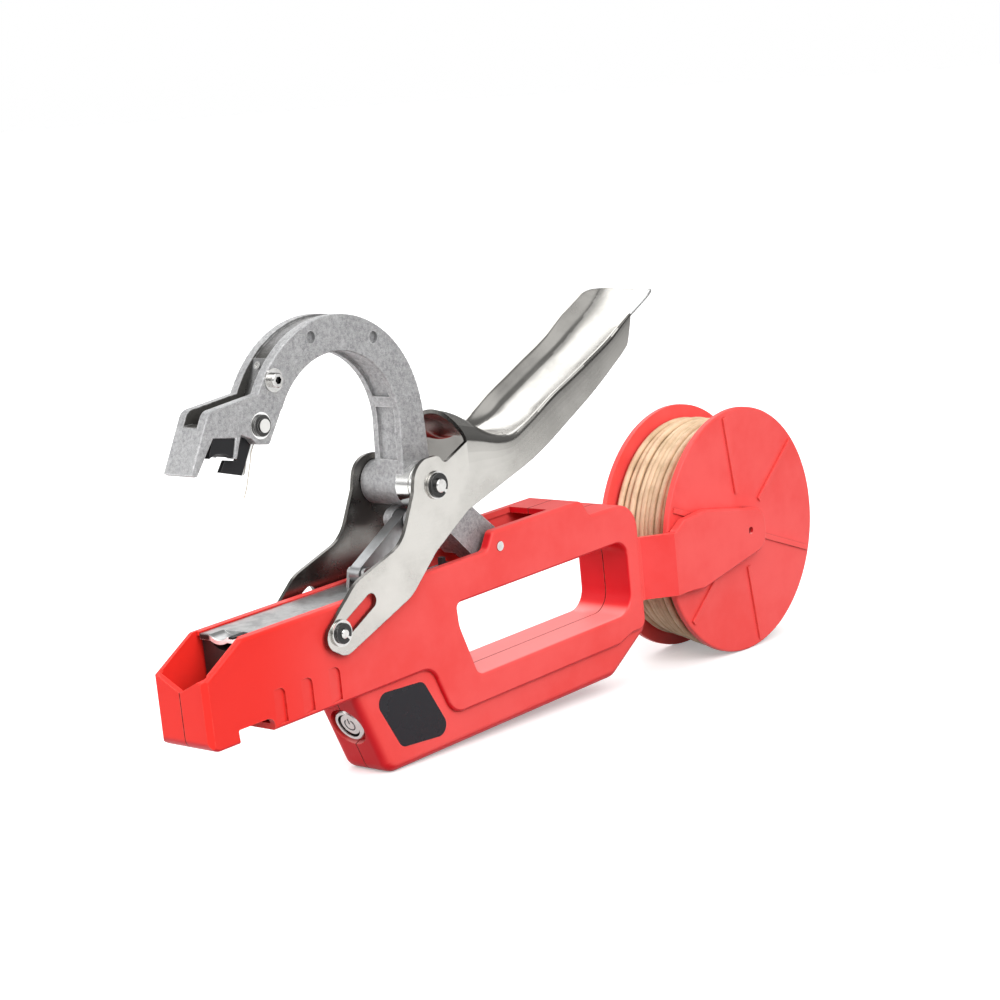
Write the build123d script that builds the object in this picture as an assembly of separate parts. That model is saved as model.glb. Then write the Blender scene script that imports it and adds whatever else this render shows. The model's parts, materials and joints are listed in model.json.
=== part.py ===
from build123d import *
import math
import os

# Electric vine tying tool, in millimetres.
# Tool axes: X runs from the nose to the wire spool, Y across, Z up. The near side is -Y.
# Everything is drawn level, then set down on the spool rims and the front corner of the belly.
# An outline lists side-view corners as (x, z, corner radius). A place is (x, z).

# Clearances, and how far cuts run past a face or through the tool
RUN = 0.05
PAST = 1.0
THROUGH = 30.0

# Shells
BODY_HALF = 12.75
BELLY_HALF = 11.0
WALL = 2.2
EDGE_ROUND = 1.2
BELLY_ROUND = 3.5
BELLY_ROUND_TOP_Z = 24.0
TOP_Z = 76.2
NOSE_BOTTOM_Z = 42.0
NOSE_LIP_Z = 65.7
NOSE_SLOPE_X = 18.0
NOSE_BEVEL = (2.4, 3.2)
BELLY_TOP_Z = 46.0
BELLY_BOTTOM_Z = 9.6
BELLY_CORNER_X = 81.3
BELLY_CORNER_ROUND = 6.0
BAR_SIDE_Z = 22.0
POST_SIDE_Z = 24.5
GUARD_Z = 82.8
REAR_X = 229.0
CHANNEL_HALF = 9.2
CHANNEL_END_X = 180.0
LIP_UNDER_Z = 74.8
CHANNEL_FLOOR_Z = 66.0
OPEN_Z = 95.0
SPLIT_GAP = 0.02
SEAM_HALF = 0.15
SEAM_DEPTH = 0.4
UPPER = [
    (0, NOSE_BOTTOM_Z, 4),
    (106.5, NOSE_BOTTOM_Z, 8),
    (115, BAR_SIDE_Z, 8),
    (212, BAR_SIDE_Z, 3),
    (220, POST_SIDE_Z, 3),
    (REAR_X, POST_SIDE_Z, 4),
    (REAR_X, 75.5, 11),
    (201, TOP_Z, 3),
    (196.5, GUARD_Z, 4),
    (145, GUARD_Z, 2.5),
    (141, TOP_Z, 3),
    (NOSE_SLOPE_X, TOP_Z, 2),
    (0, NOSE_LIP_Z, 0.8),
]
HAND_HOLE = [(122.3, 61.4, 2), (122.8, 53, 12), (130.3, 33, 3.5), (221.3, 33, 8), (221.3, 61.4, 7)]

# Nose: the dip in its front wall as (y, height over the lip), the notch under its near side, the side steps
# and the rounding of its far lower edge
FRONT_DIP = [(0, -4.2), (0, 9.0), (-14.0, 9.0), (-11.0, 1.2)]
NOSE_NOTCH = [(12.7, 40, 0), (12.2, 46.8, 0.6), (28.2, 46.8, 3), (28.6, 40, 0)]
STEP_ENDS_X = (34.7, 47.5, 60.7)
STEP_LENGTH = 5.4
STEP_DEPTH = 0.8
STEP_BOTTOM_Z = 43.5
STEP_TOP_Z = 55.5
STEP_ROUND = 2.6
NOSE_ROUND = 3.7
NOSE_ROUND_END_X = 60.0

# Belly front, which leans forward, and the push button in it. Depths are below that front.
FRONT_LEAN = 0.41
BUTTON_X = 73.7
BUTTON_Z = 28.2
BUTTON_R = 4.3
BUTTON_PLAY = 0.5
BEZEL_R = 6.3
BEZEL_RISE = 0.5
BARREL_R = 5.9
BARREL_BORE_R = 4.0
BARREL_LENGTH = 16.0
RECESS_R = 7.6
RECESS_DEPTH = 2.4
BUTTON_BOSS_R = 9.0
BUTTON_BOSS = (5.5, 1.2)
CAP_DEPTHS = (4.5, 1.1)
CAP_WELL = 8.0
NUT_R = 8.2
NUT_T = 2.6
INSERT_R = 3.95
INSERT_DEPTHS = (19.0, 9.5)

# Label plate
LABEL = [(76.0, 39.9, 4), (102.3, 38.1, 4), (114.9, 15.3, 4), (88.2, 17.7, 4)]
LABEL_DEPTH = 0.7
LABEL_RISE = 0.1

# Hook, lever and link pivots in the side view
SLOT_PIN = (60.5, 67.2)
LEVER_PIN = (114.8, 106.7)
HOOK_PIVOT = (148.0, 76.6)
LINK_REAR = (113.5, 93.5)
LINK_FRONT = (88.0, 80.0)
JAW_PIVOT = (43.2, 141.8)
LEVER_TURN = 0.48

# Hook casting
HOOK_CENTRE = (79.75, 130.4)
HOOK_OUTER_R = 42.0
HOOK_INNER_R = 29.5
HOOK_RING = (0, 50, 100, 150)
HOOK_HALF = 6.75
HOOK_ROUND = 0.5
HOOK_CHANNEL_HALF = 3.3
HOOK_CHANNEL_DEPTH = 0.9
HOOK_CHANNEL = (74, 104, 131)
HOOK_LEG_TOP_Z = 131.0
HOOK_LEG_TAPER = (1.5, 1.0)
TOOTH_TOP = (31.9, 139.8)
TOOTH_FOOT = (29.9, 133.3)
NOTCH_CORNER = (22.3, 141.6)
HOOK_TIP = [
    (44.5, 152.2, 0),
    (21.5, 150.45, 4),
    (10.9, 131.7, 0),
    (12.2, 130.85, 0),
    (13.5, 130.7, 0),
    (*NOTCH_CORNER, 0),
    (*TOOTH_TOP, 0),
    (*TOOTH_FOOT, 0),
    (31.4, 132.9, 0),
    (34.5, 140.3, 0),
    (39.0, 138.1, 0.5),
    (41.0, 135.8, 1.0),
    (46.6, 134.7, 1.2),
    (54.4, 146.0, 0),
    (52.0, 150.0, 0),
]
JAW_SLIT = [(23, 160), (23, 128), (48, 128), (50, 146.5), (47.4, 150.5), (44, 160)]
TIP_MOUTH = [(8, 145.8), (25, 145.8), (25, 160), (8, 160)]
INNER_GROOVE = (17, 50, 85)
INNER_GROOVE_DEPTH = 1.2
INNER_GROOVE_HALF = 4.2
LEG_POCKET = [(104, 135.2), (110.3, 135.2), (110.4, 131), (109.6, 116.5), (104, 116.5)]
DIMPLES = [(70.8, 166.5), (100.6, 161.5)]
DIMPLE_R = 2.1
DIMPLE_DEPTH = 1.8
BOSS_R = 8.0
BOSS_FAR_Y = 13.6
ARM_R = 7.5
ARM_START_R = 6.0
ARM_START = (115.8, 107.8)
FORK_HEEL = (124.0, 97.0)
FORK_R = 4.2
FORK_GAP_HALF = 2.8
FORK_ROOM_R = 4.6
FORK_ROOM_END = (102.0, 87.4)
LINK_SWING = 56.0
PIVOT_ROOM_R = 9.0
PIVOT_FAR_Y = 1.5

# Jaws and small pieces on the hook's tip
FIXED_JAW_HALF = 6.2
FIXED_JAW_LOW = [(30.02, 133.7), (19.7, 135.4)]
FIXED_JAW_HOLLOW = (23.5, 128.1)
FIXED_JAW_HOLLOW_R = 8.1
JAW_FOOT = (35.9, 126.3)
JAW_HEEL = (45.3, 142.0)
MOVING_JAW = [
    (40.2, 143.2),
    (37.6, 138.6),
    (34.3, 131.6),
    (29.3, 132.8),
    (26.6, 129.2),
    JAW_FOOT,
    JAW_HEEL,
]
JAW_T = 1.6
JAW_PLAY = 0.2
JAW_EYE_R = 3.2
JAW_PIN_R = 1.75
JAW_WASHER_R = 4.5
JAW_WASHER_T = 0.5
JAW_HEAD_R = 3.7
JAW_HEAD_T = 0.85
JAW_TIP_R = 2.3
JAW_TIP_T = 1.1
JAW_CAP_R = 2.8
JAW_CAP_T = 1.4
BACKING_LENGTH = 13.6
BACKING_T = 1.6
BACKING_Y = (-1.5, -2.4)
BACKING_ROUND = 1.4
HOOK_SCREW = (51.3, 155.5)
HOOK_SCREW_END = -3.5
HOOK_WASHER_R = 4.0
HOOK_WASHER_T = 0.7
HOOK_HEAD_R = 2.5
HOOK_HEAD_T = 2.0
HOOK_SOCKET_R = 1.4
HOOK_SOCKET_DEPTH = 1.6
CLIP_FOOT = (46.8, 150.8)
CLIP_TOP = (52.9, 162.4)
CLIP_T = 0.7
CLIP_CUT = 12.0
CLIP_SCREW_AT = 0.8
CLIP_SCREW_R = 1.4
CLIP_SCREW_T = 0.6
CLIP_SOCKET_R = 0.75
WIRE_END = [(43.2, -3.0, 136.4), (36.0, -3.0, 118.9)]
WIRE_END_R = 0.3

# Lever sheet, its bush and the slot, which is cut for a little more than the hook's travel
LEVER_IN = 14.0
LEVER_OUT = 15.5
SLOT_TURN = 24.0
SLOT_WIDTH = 5.4
SLOT_SPARE = 0.6
LEVER_LEG = [
    (50.5, 65.5, 5),
    (70.5, 82.4, 14),
    (95.0, 90.0, 14),
    (103.0, 106.0, 10),
    (105.6, 117.0, 8.5),
    (117.6, 116.9, 4),
    (120.4, 113.2, 2.5),
    (134.5, 120.6, 4),
    (147.5, 116.2, 10),
    (159.5, 115.2, 14),
    (173.0, 122.2, 40),
    (226.5, 146.2, 10),
    (232.4, 148.4, 1.5),
    (230.3, 139.8, 3),
    (214.4, 128.7, 30),
    (170.0, 105.6, 40),
    (130.0, 94.2, 20),
    (111.5, 83.5, 10),
    (97.0, 71.0, 16),
    (62.0, 58.4, 6),
]
# Sheet between the legs, each station as (x, z at the legs, z in the middle)
SADDLE = [
    (133.0, 117.0, 129.2),
    (141.0, 116.5, 126.2),
    (150.0, 115.0, 119.5),
    (158.5, 114.4, 115.0),
    (166.0, 117.6, 113.8),
    (173.0, 121.2, 115.4),
    (190.0, 129.0, 122.6),
    (212.0, 138.8, 132.0),
    (228.0, 146.0, 139.8),
    (236.0, 150.0, 144.2),
    (247.0, 155.4, 151.4),
]
SADDLE_LAP = 0.6
SADDLE_PLAN_HALF = 14.9
SADDLE_CORNER = 9.0
SADDLE_LOW_Z = 100.0
SADDLE_HIGH_Z = 170.0
BUSH_R = 8.0
BUSH_IN = -3.4
BUSH_PLAY = 0.3
BUSH_GROOVE = (-9.2, -9.9)
BUSH_GROOVE_R = 7.5

# Pins, washers and retaining clips
SLOT_PIN_R = 1.7
SLOT_PIN_END = 18.0
SLOT_WASHER_R = 4.6
LEVER_PIN_R = 2.5
LEVER_PIN_END = 18.4
LEVER_WASHER_R = 5.0
PIN_BEVEL = 0.35
PIVOT_PIN_R = 2.5
PIVOT_END_R = 1.75
PIVOT_END_RISE = 0.3
WASHER_T = 0.8
WASHER_GAP = 0.1
RETAINER_T = 0.7
RETAINER_GAP = 0.15
RETAINER_RISE = 1.9
RETAINER_BITE = 0.4
RETAINER_MOUTH = [(0, 0), (6, -1), (6, 1)]
RETAINER_TURN = -40.0

# Link between the hook and the feed plate
LINK_HALF = 2.4
LINK_FRONT_R = 3.2
LINK_REAR_R = 3.8
LINK_PIN_R = 1.5
LINK_PLAY = 0.65
LINK_LOST = 2.2
FRONT_PIN_R = 1.25

# Feed plate, its blade and the block that it slides on
PLATE_TOP_Z = 75.6
PLATE_UNDER_Z = 73.6
PLATE_FRONT_X = 19.5
PLATE_REAR_X = 96.0
PLATE_HALF = 9.0
PLATE_EDGE_HALF = 10.2
PLATE_EDGE_BACK = 2.0
PLATE_LIP_GAP = 0.2
DISH_HALF = 6.5
DISH_DEPTH = 3.0
DISH_LENGTH = 7.0
DISH_T = 1.4
DISH_CUT = 10.0
EAR = (3.6, 1.9, 2.3)
EAR_IN = 2.7
EAR_OUT = 4.0
EAR_SINK = 0.5
BLADE_RISE = 0.7
BLADE_LENGTH = 6.0
BLADE_OUT_Y = -8.9
BLADE_LEAD = 0.8
TOOTH_COUNT = 3
TOOTH_PITCH = 0.75
TOOTH_PEAK = (1.0, 0.3)
GUIDE_FRONT_X = 21.5
GUIDE_REAR_X = 84.0
GUIDE_HALF = 10.2
GUIDE_TOP_Z = 73.5
GUIDE_UNDER_Z = 69.6
BULKHEAD_REAR_X = 27.0
BULKHEAD_BOTTOM_Z = 47.5
GUIDE_EAR_X = (50.0, 72.0)
GUIDE_EAR_IN = 7.8
GUIDE_EAR_BOTTOM_Z = 63.0
TROUGH_Z = 78.5
TROUGH_R = 8.5

# Drive
DRIVE_Z = 56.0
MOTOR_X = (48.0, 78.0)
MOTOR_R = 8.0
MOTOR_TAIL = (3.0, 3.0)
GEARBOX_FRONT_X = 36.0
GEARBOX_R = 7.8
GEARBOX_NOSE = (1.5, 4.0)
COUPLING_X = (28.2, 34.2)
COUPLING_R = 4.2
SHAFT_R = 2.0
SHAFT_FRONT_X = 14.0
BEARING_LENGTH = 5.5
BEARING_R = 4.0
BEARING_RIM_X = 20.3
BEARING_RIM_R = 5.5
HEAD_REAR_X = 20.0
HEAD_R = 6.2
HORN_FRONT_X = 8.5
HORN_IN = 2.6
HORN_HALF = 3.0

# Ribs in the shells that hold the drive, the cells and the switch
RIB_T = 2.0
MOTOR_RIBS_X = (40, 70)
MOTOR_RIB_RISE = 3.0
CELL_RIBS_X = (112, 146, 160, 194)
CELL_RIB_TOP_Z = 30.5
SWITCH_SEAT = ((124, 137), 3.2, (62, 66))

# Cells
CELLS_X = (102.4, 152.6)
CELL_R = 7.0
CELL_LENGTH = 50.0
CELL_Z = 22.0
CELL_CAP_R = 2.6
CELL_CAP_T = 1.2

# Board and charge socket
BOARD_X = (84.0, 118.0)
BOARD_Z = (31.0, 44.0)
BOARD_Y = 7.0
BOARD_T = 1.6
BOARD_POSTS = [(88, 37), (104, 36)]
BOARD_POST_R = 1.8
CHIPS_X = (92, 101, 109)
CHIP_Z = (34.0, 41.0)
CHIP_LENGTH = 5.0
CHIP_T = 2.0
SOCKET_PLACE = (90.0, 20.5)
SOCKET_R = 4.0
SOCKET_BORE_R = 2.75
SOCKET_DEPTH = 9.0
SOCKET_END_Y = 0.5

# Switch under the hook's arm
SWITCH_X = (125.0, 136.0)
SWITCH_HALF = 3.0
SWITCH_Z = (66.0, 72.6)
SWITCH_HOLES = [(127.5, 68.0), (133.5, 68.0)]
SWITCH_HOLE_R = 0.9
PLUNGER_X = (129.1, 130.9)
PLUNGER_HALF = 1.1
PLUNGER_Z = (71.9, 75.8)
PLUNGER_PLAY = 0.1
PLUNGER_WELL_Z = 71.0

# Spool and its arms
SPOOL = (290.8, 50.0)
FLANGE_R = 50.0
FLANGE_OUT = 17.2
FLANGE_T = 2.5
FLANGE_ROUND = 0.8
FLANGE_RIBS = 6
FLANGE_RIB = (32.0, 2.0)
FLANGE_RIB_R = 32.0
FLANGE_RIB_RISE = 0.8
FLANGE_RIB_TURN = 38.0
HUB_R = 14.0
AXLE_R = 4.0
AXLE_SOCKET = 2.0
AXLE_REACH = 1.9
AXLE_SPOT_R = 1.5
FRICTION_R = 9.0
FRICTION_GAP = 0.1
ARM_IN = 18.5
ARM_OUT = 21.7
ARM_ROUND = 0.9
ARM_ROOT_IN = 9.0
ARM_ROOT_SINK = 0.3
ARM_NECK_X = (223.0, 230.0, 240.0, 252.0)
ARM_NECK_IN_X = (229.0, 239.8)
ARM_NECK_Z = (35.5, 60.5)
ARM_BLADE = [
    (241, 35.5, 1),
    (257, 34, 6),
    (302, 41.3, 7),
    (301, 57.3, 7),
    (262, 65, 6),
    (247.5, 64.2, 3),
    (241, 60.5, 1),
]

# Wire on the spool
WOUND_R = 42.4
WIRE_D = 1.2
WIRE_PITCH = 1.74
WIRE_HALF_TURNS = 28
WIRE_BEND = 1.3
CORE_GAP = 0.1

# Return spring
SPRING_R = 5.0
SPRING_D = 1.0
SPRING_PITCH = 1.72
SPRING_HALF_TURNS = 4
SPRING_BEND = 1.1
SPRING_GAP = 0.02

# Points measured on each arc of a coil, and how many arcs lie between neighbouring turns
COIL_POINTS = 12
COIL_ARCS = 2

# Screws that join the halves
SCREWS = [(32.2, 47.6), (104, 56), (112, 68), (170, 69.5), (213, 68.5), (98.5, 16.5), (210.5, 25.5)]
SCREW_R = 1.5
SCREW_PLAY = 0.1
SCREW_BOSS_R = 3.2
SCREW_WELL_R = 2.9
SCREW_WELL = 3.2
SCREW_HEAD_R = 2.7
SCREW_HEAD_T = 1.9
SCREW_END_Y = -7.0
SCREW_STOP = 3.0
CROSS = (3.2, 2.4, 0.8)


def outline(corners):
    """Closed side-view face through corners given as (x, z, corner radius)."""
    points = [(x, z) for x, z, _ in corners]
    radii = [r for _, _, r in corners]
    return make_face(FilletPolyline(*points, radius=radii, close=True))


def polygon(points):
    """Closed face with sharp corners."""
    return make_face(Polyline(*points, close=True))


def prism(face, y_start, y_end):
    """Solid of a side-view face between two planes across the tool."""
    return extrude(Plane.XZ.offset(-y_start) * face, y_start - y_end)


def rod(place, radius, y_start, y_end):
    """Cylinder across the tool at a side-view place."""
    return prism(Pos(*place) * Circle(radius), y_start, y_end)


def bar(x_start, x_end, z, radius):
    """Cylinder along the tool, in its middle plane."""
    return extrude(Plane.YZ.offset(x_start) * Pos(0, z) * Circle(radius), x_end - x_start)


def block(x_start, x_end, y_start, y_end, z_start, z_end):
    """Box between two corners."""
    size = (x_end - x_start, y_end - y_start, z_end - z_start)
    return Pos(x_start, y_start, z_start) * Box(*size, align=(Align.MIN, Align.MIN, Align.MIN))


def both_sides(solid):
    """A near-side solid together with its mirror image on the far side."""
    return solid + mirror(solid, about=Plane.XZ)


def pair(solid):
    """A near-side solid and its mirror image as two pieces."""
    return [solid, mirror(solid, about=Plane.XZ)]


def rim_edges(solid, y):
    """Edges that lie in one plane across the tool."""
    return solid.edges().filter_by_position(Axis.Y, y - RUN, y + RUN)


def turned(point, centre, degrees):
    """Side-view point after a turn about a centre, from X towards Z."""
    angle = math.radians(degrees)
    dx = point[0] - centre[0]
    dz = point[1] - centre[1]
    x = centre[0] + dx * math.cos(angle) - dz * math.sin(angle)
    return x, centre[1] + dx * math.sin(angle) + dz * math.cos(angle)


def along(start, end, distance, aside=0.0):
    """Place at a distance from start towards end, then to the right of that way by aside."""
    length = math.dist(start, end)
    ux = (end[0] - start[0]) / length
    uz = (end[1] - start[1]) / length
    return start[0] + ux * distance + uz * aside, start[1] + uz * distance - ux * aside


def web(start, start_r, end, end_r):
    """Side-view face of a bar with round ends of two radii."""
    length = math.dist(start, end)
    corners = [
        along(start, end, 0, -start_r),
        along(start, end, length, -end_r),
        along(start, end, length, end_r),
        along(start, end, 0, start_r),
    ]
    return polygon(corners) + Pos(*start) * Circle(start_r) + Pos(*end) * Circle(end_r)


def fan(degrees):
    """Face that widens from the hook's centre through the given angles, past its outer edge."""
    far = (HOOK_CENTRE[0] + 2 * HOOK_OUTER_R, HOOK_CENTRE[1])
    return polygon([HOOK_CENTRE] + [turned(far, HOOK_CENTRE, angle) for angle in degrees])


def coil(radius, wire, pitch, half_turns, bend):
    """Wire coil about Y: half circles, each tilted by half a pitch, with an axial tang at each end.

    Returns the solid, which starts at y = 0, its least gap to itself, measured on points, and its length.
    """
    first = wire + bend
    slant = bend * math.sqrt(0.5)
    edges = [
        Line((radius, 0, -bend), (radius, wire, -bend)),
        ThreePointArc((radius, wire, -bend), (radius, wire + slant, -slant), (radius, first, 0)),
    ]
    for turn in range(half_turns):
        side = 1 if turn % 2 == 0 else -1
        y = first + turn * pitch / 2
        crown = math.hypot(radius, pitch / 4)
        edges.append(
            ThreePointArc(
                (side * radius, y, 0),
                (0, y + pitch / 4, side * crown),
                (-side * radius, y + pitch / 2, 0),
            )
        )
    last = first + half_turns * pitch / 2
    edges.append(
        ThreePointArc((radius, last, 0), (radius, last + bend - slant, slant), (radius, last + bend, bend))
    )
    edges.append(Line((radius, last + bend, bend), (radius, last + bend + wire, bend)))
    solid = sweep(Plane((radius, 0, -bend), z_dir=(0, 1, 0)) * Circle(wire / 2), path=Wire(edges))
    points = [edge @ (step / COIL_POINTS) for edge in edges for step in range(COIL_POINTS)]
    apart = COIL_ARCS * COIL_POINTS
    around = COIL_POINTS // 2
    gap = min(
        (one - other).length
        for index, one in enumerate(points)
        for other in points[index + apart - around:index + apart + around + 1]
    )
    return solid, gap - wire, last + bend + wire


def belly_outline():
    """Side view of the belly and the underside of the lower bar, which are narrower."""
    top_x = BUTTON_X - FRONT_LEAN * (BELLY_TOP_Z - BUTTON_Z)
    return outline([
        (top_x, BELLY_TOP_Z, 0),
        (BELLY_CORNER_X, BELLY_BOTTOM_Z, BELLY_CORNER_ROUND),
        (209, BELLY_BOTTOM_Z, 8),
        (REAR_X, 21.6, 0),
        (REAR_X, 27, 0),
        (113, BELLY_TOP_Z, 0),
    ])


def button_plane(depth):
    """Plane square to the push button, at a depth below the belly front."""
    length = math.hypot(1, FRONT_LEAN)
    normal = Vector(-1 / length, 0, -FRONT_LEAN / length)
    return Plane(Vector(BUTTON_X, 0, BUTTON_Z) - normal * depth, x_dir=(0, 1, 0), z_dir=normal)


def button_rod(radius, deep, shallow):
    """Cylinder on the button's axis between two depths below the belly front."""
    return extrude(button_plane(deep) * Circle(radius), deep - shallow)


def spool_arm():
    """Near arm that carries the spool: a neck that leans out and a flat blade with a socket."""
    root_x, bend_x, flat_x, lap_x = ARM_NECK_X
    root_y = ARM_ROOT_SINK - BODY_HALF
    neck_plan = polygon([
        (root_x, root_y),
        (bend_x, root_y),
        (flat_x, -ARM_OUT),
        (lap_x, -ARM_OUT),
        (lap_x, -ARM_IN),
        (ARM_NECK_IN_X[1], -ARM_IN),
        (ARM_NECK_IN_X[0], -ARM_ROOT_IN),
        (root_x, -ARM_ROOT_IN),
    ])
    neck = extrude(Pos(0, 0, ARM_NECK_Z[0]) * neck_plan, ARM_NECK_Z[1] - ARM_NECK_Z[0])
    blade = prism(outline(ARM_BLADE), -ARM_IN, -ARM_OUT)
    blade = fillet(rim_edges(blade, -ARM_OUT), ARM_ROUND)
    socket = rod(SPOOL, AXLE_R + RUN, -ARM_IN, -ARM_IN - AXLE_SOCKET)
    return neck + blade - socket - rod(SPOOL, AXLE_SPOT_R, -ARM_IN, -ARM_OUT)


def cradle_ribs(cavity):
    """Ribs inside the near shell that hold the motor, the cells and the switch."""
    ribs = Part()
    for x in MOTOR_RIBS_X:
        ribs += block(x, x + RIB_T, -BODY_HALF, 0, NOSE_BOTTOM_Z, DRIVE_Z + MOTOR_RIB_RISE) & cavity
    for x in CELL_RIBS_X:
        ribs += block(x, x + RIB_T, -BODY_HALF, 0, BELLY_BOTTOM_Z, CELL_RIB_TOP_Z) & cavity
    seat_x, seat_half, seat_z = SWITCH_SEAT
    ribs += block(*seat_x, -seat_half, 0, *seat_z) & cavity
    ribs -= bar(GEARBOX_FRONT_X, CELLS_X[0], DRIVE_Z, MOTOR_R + RUN)
    return ribs - bar(CELLS_X[0], REAR_X, CELL_Z, CELL_R + RUN)


def grip_step(x):
    """Shallow sawtooth cut in the nose side that ends at x."""
    outside = -BODY_HALF - PAST
    slope = STEP_DEPTH / STEP_LENGTH
    start = x - STEP_LENGTH - PAST / slope
    wedge_plan = polygon([(start, outside), (x, outside), (x, STEP_DEPTH - BODY_HALF)])
    wedge = extrude(Pos(0, 0, STEP_BOTTOM_Z) * wedge_plan, STEP_TOP_Z - STEP_BOTTOM_Z)
    arch = outline([
        (x - STEP_LENGTH, STEP_BOTTOM_Z, 0),
        (x, STEP_BOTTOM_Z, 0),
        (x, STEP_TOP_Z, STEP_ROUND),
        (x - STEP_LENGTH, STEP_TOP_Z, 0),
    ])
    return wedge & prism(arch, PAST - BODY_HALF, outside)


def half_shell():
    """Near half of the body, up to the middle plane, without its own fixings."""
    outside = -BODY_HALF - PAST
    hole = outline(HAND_HOLE)
    upper_face = outline(UPPER) - hole
    whole_face = outline(UPPER) + belly_outline() - hole
    upper = prism(upper_face, -SPLIT_GAP, -BODY_HALF)
    upper = fillet(rim_edges(upper, -BODY_HALF), EDGE_ROUND)
    bevel = polygon([(-PAST, NOSE_BEVEL[1] - BODY_HALF), (NOSE_BEVEL[0], outside), (-PAST, outside)])
    upper -= extrude(Pos(0, 0, NOSE_BOTTOM_Z - PAST) * bevel, TOP_Z)
    belly = prism(belly_outline(), -SPLIT_GAP, -BELLY_HALF)
    rim = rim_edges(belly, -BELLY_HALF)
    low_rim = [e for e in rim if e.center().Z < BELLY_ROUND_TOP_Z or e.center().X < BELLY_CORNER_X]
    belly = fillet(low_rim, BELLY_ROUND) - prism(hole, PAST, -BODY_HALF)
    cavity = prism(offset(whole_face, -WALL), 0, WALL - BELLY_HALF)
    cavity += prism(offset(upper_face, -WALL), 0, WALL - BODY_HALF)
    shell = upper + belly - cavity
    shell -= prism(whole_face - offset(whole_face, -SEAM_DEPTH), 0, -SEAM_HALF)
    shell -= block(WALL, CHANNEL_END_X, -CHANNEL_HALF, PAST, CHANNEL_FLOOR_Z, OPEN_Z)
    shell -= block(WALL, CHANNEL_END_X, WALL - BODY_HALF, PAST, CHANNEL_FLOOR_Z, LIP_UNDER_Z)
    shell -= block(WALL, PLATE_FRONT_X, WALL - BODY_HALF, PAST, NOSE_BOTTOM_Z + WALL, OPEN_Z)
    shell -= extrude(Plane.YZ.offset(-PAST) * Pos(0, NOSE_LIP_Z) * polygon(FRONT_DIP), WALL + 2 * PAST)
    for x in STEP_ENDS_X:
        shell -= grip_step(x)
    shell += button_rod(BUTTON_BOSS_R, *BUTTON_BOSS) & block(0, REAR_X, -BELLY_HALF, -SPLIT_GAP, 0, TOP_Z)
    shell -= button_rod(RECESS_R, RECESS_DEPTH, -RECESS_R)
    shell -= button_rod(BARREL_R + RUN, THROUGH, 0)
    shell += cradle_ribs(cavity)
    shell -= rod(SLOT_PIN, SLOT_PIN_R + RUN, 0, outside)
    shell -= rod(HOOK_PIVOT, PIVOT_END_R + RUN, 0, outside)
    return shell + spool_arm()


def screw_half(z):
    """Half width of the body where a screw at this height comes out."""
    return BELLY_HALF if z < BAR_SIDE_Z else BODY_HALF


def near_shell():
    """Near half with the notch under the nose, screw columns and the shallow seat of the label plate."""
    shell = half_shell() - prism(outline(NOSE_NOTCH), PAST, -BODY_HALF - PAST)
    for place in SCREWS:
        half = screw_half(place[1])
        shell += rod(place, SCREW_BOSS_R, -SPLIT_GAP, WALL / 2 - half)
    for place in SCREWS:
        half = screw_half(place[1])
        shell -= rod(place, SCREW_R + RUN, PAST, SCREW_STOP - half)
    return shell - prism(outline(LABEL), LABEL_DEPTH - BELLY_HALF, -BELLY_HALF - PAST)


def nose_corner():
    """What the rounding takes off the nose's far lower edge."""
    y = BODY_HALF - NOSE_ROUND
    z = NOSE_BOTTOM_Z + NOSE_ROUND
    corner = block(-PAST, NOSE_ROUND_END_X, y, BODY_HALF + PAST, NOSE_BOTTOM_Z - PAST, z)
    return corner - Pos(0, y, 0) * bar(-PAST, NOSE_ROUND_END_X, z, NOSE_ROUND)


def far_shell():
    """Far half with a rounded lower nose edge, screw wells, board posts and the charge socket's hole."""
    shell = mirror(half_shell(), about=Plane.XZ) - nose_corner()
    for place in SCREWS:
        shell += rod(place, SCREW_BOSS_R, screw_half(place[1]) - WALL / 2, SPLIT_GAP)
    for place in BOARD_POSTS:
        shell += rod(place, BOARD_POST_R, BELLY_HALF - PAST, BOARD_Y + BOARD_T)
    for place in SCREWS:
        half = screw_half(place[1])
        shell -= rod(place, SCREW_R + SCREW_PLAY, half + PAST, -PAST)
        shell -= rod(place, SCREW_WELL_R, half + PAST, half - SCREW_WELL)
    return shell - rod(SOCKET_PLACE, SOCKET_R + RUN, BELLY_HALF + PAST, 0)


def shell_screws():
    """Pan-head screws that hold the halves together."""
    group = []
    for x, z in SCREWS:
        head_y = screw_half(z) - SCREW_WELL
        head = rod((x, z), SCREW_HEAD_R, head_y + SCREW_HEAD_T, head_y)
        length, depth, width = CROSS
        centre = Pos(x, head_y + SCREW_HEAD_T, z)
        cross = centre * Box(length, depth, width) + centre * Box(width, depth, length)
        group.append(head + rod((x, z), SCREW_R, head_y, SCREW_END_Y) - cross)
    return group


def label_plate():
    """Blank plate, a little smaller than its seat and just proud of the belly."""
    return prism(offset(outline(LABEL), -2 * RUN), LABEL_DEPTH - BELLY_HALF, -BELLY_HALF - LABEL_RISE)


def circuit_board():
    """Control board with a few raised parts."""
    board = block(*BOARD_X, BOARD_Y, BOARD_Y + BOARD_T, *BOARD_Z)
    for x in CHIPS_X:
        board += block(x, x + CHIP_LENGTH, BOARD_Y - CHIP_T, BOARD_Y, *CHIP_Z)
    return board


def charge_socket():
    """Round charging jack, flush with the far belly side."""
    jack = rod(SOCKET_PLACE, SOCKET_R, BELLY_HALF, SOCKET_END_Y)
    return jack - rod(SOCKET_PLACE, SOCKET_BORE_R, BELLY_HALF + PAST, BELLY_HALF - SOCKET_DEPTH)


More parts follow.
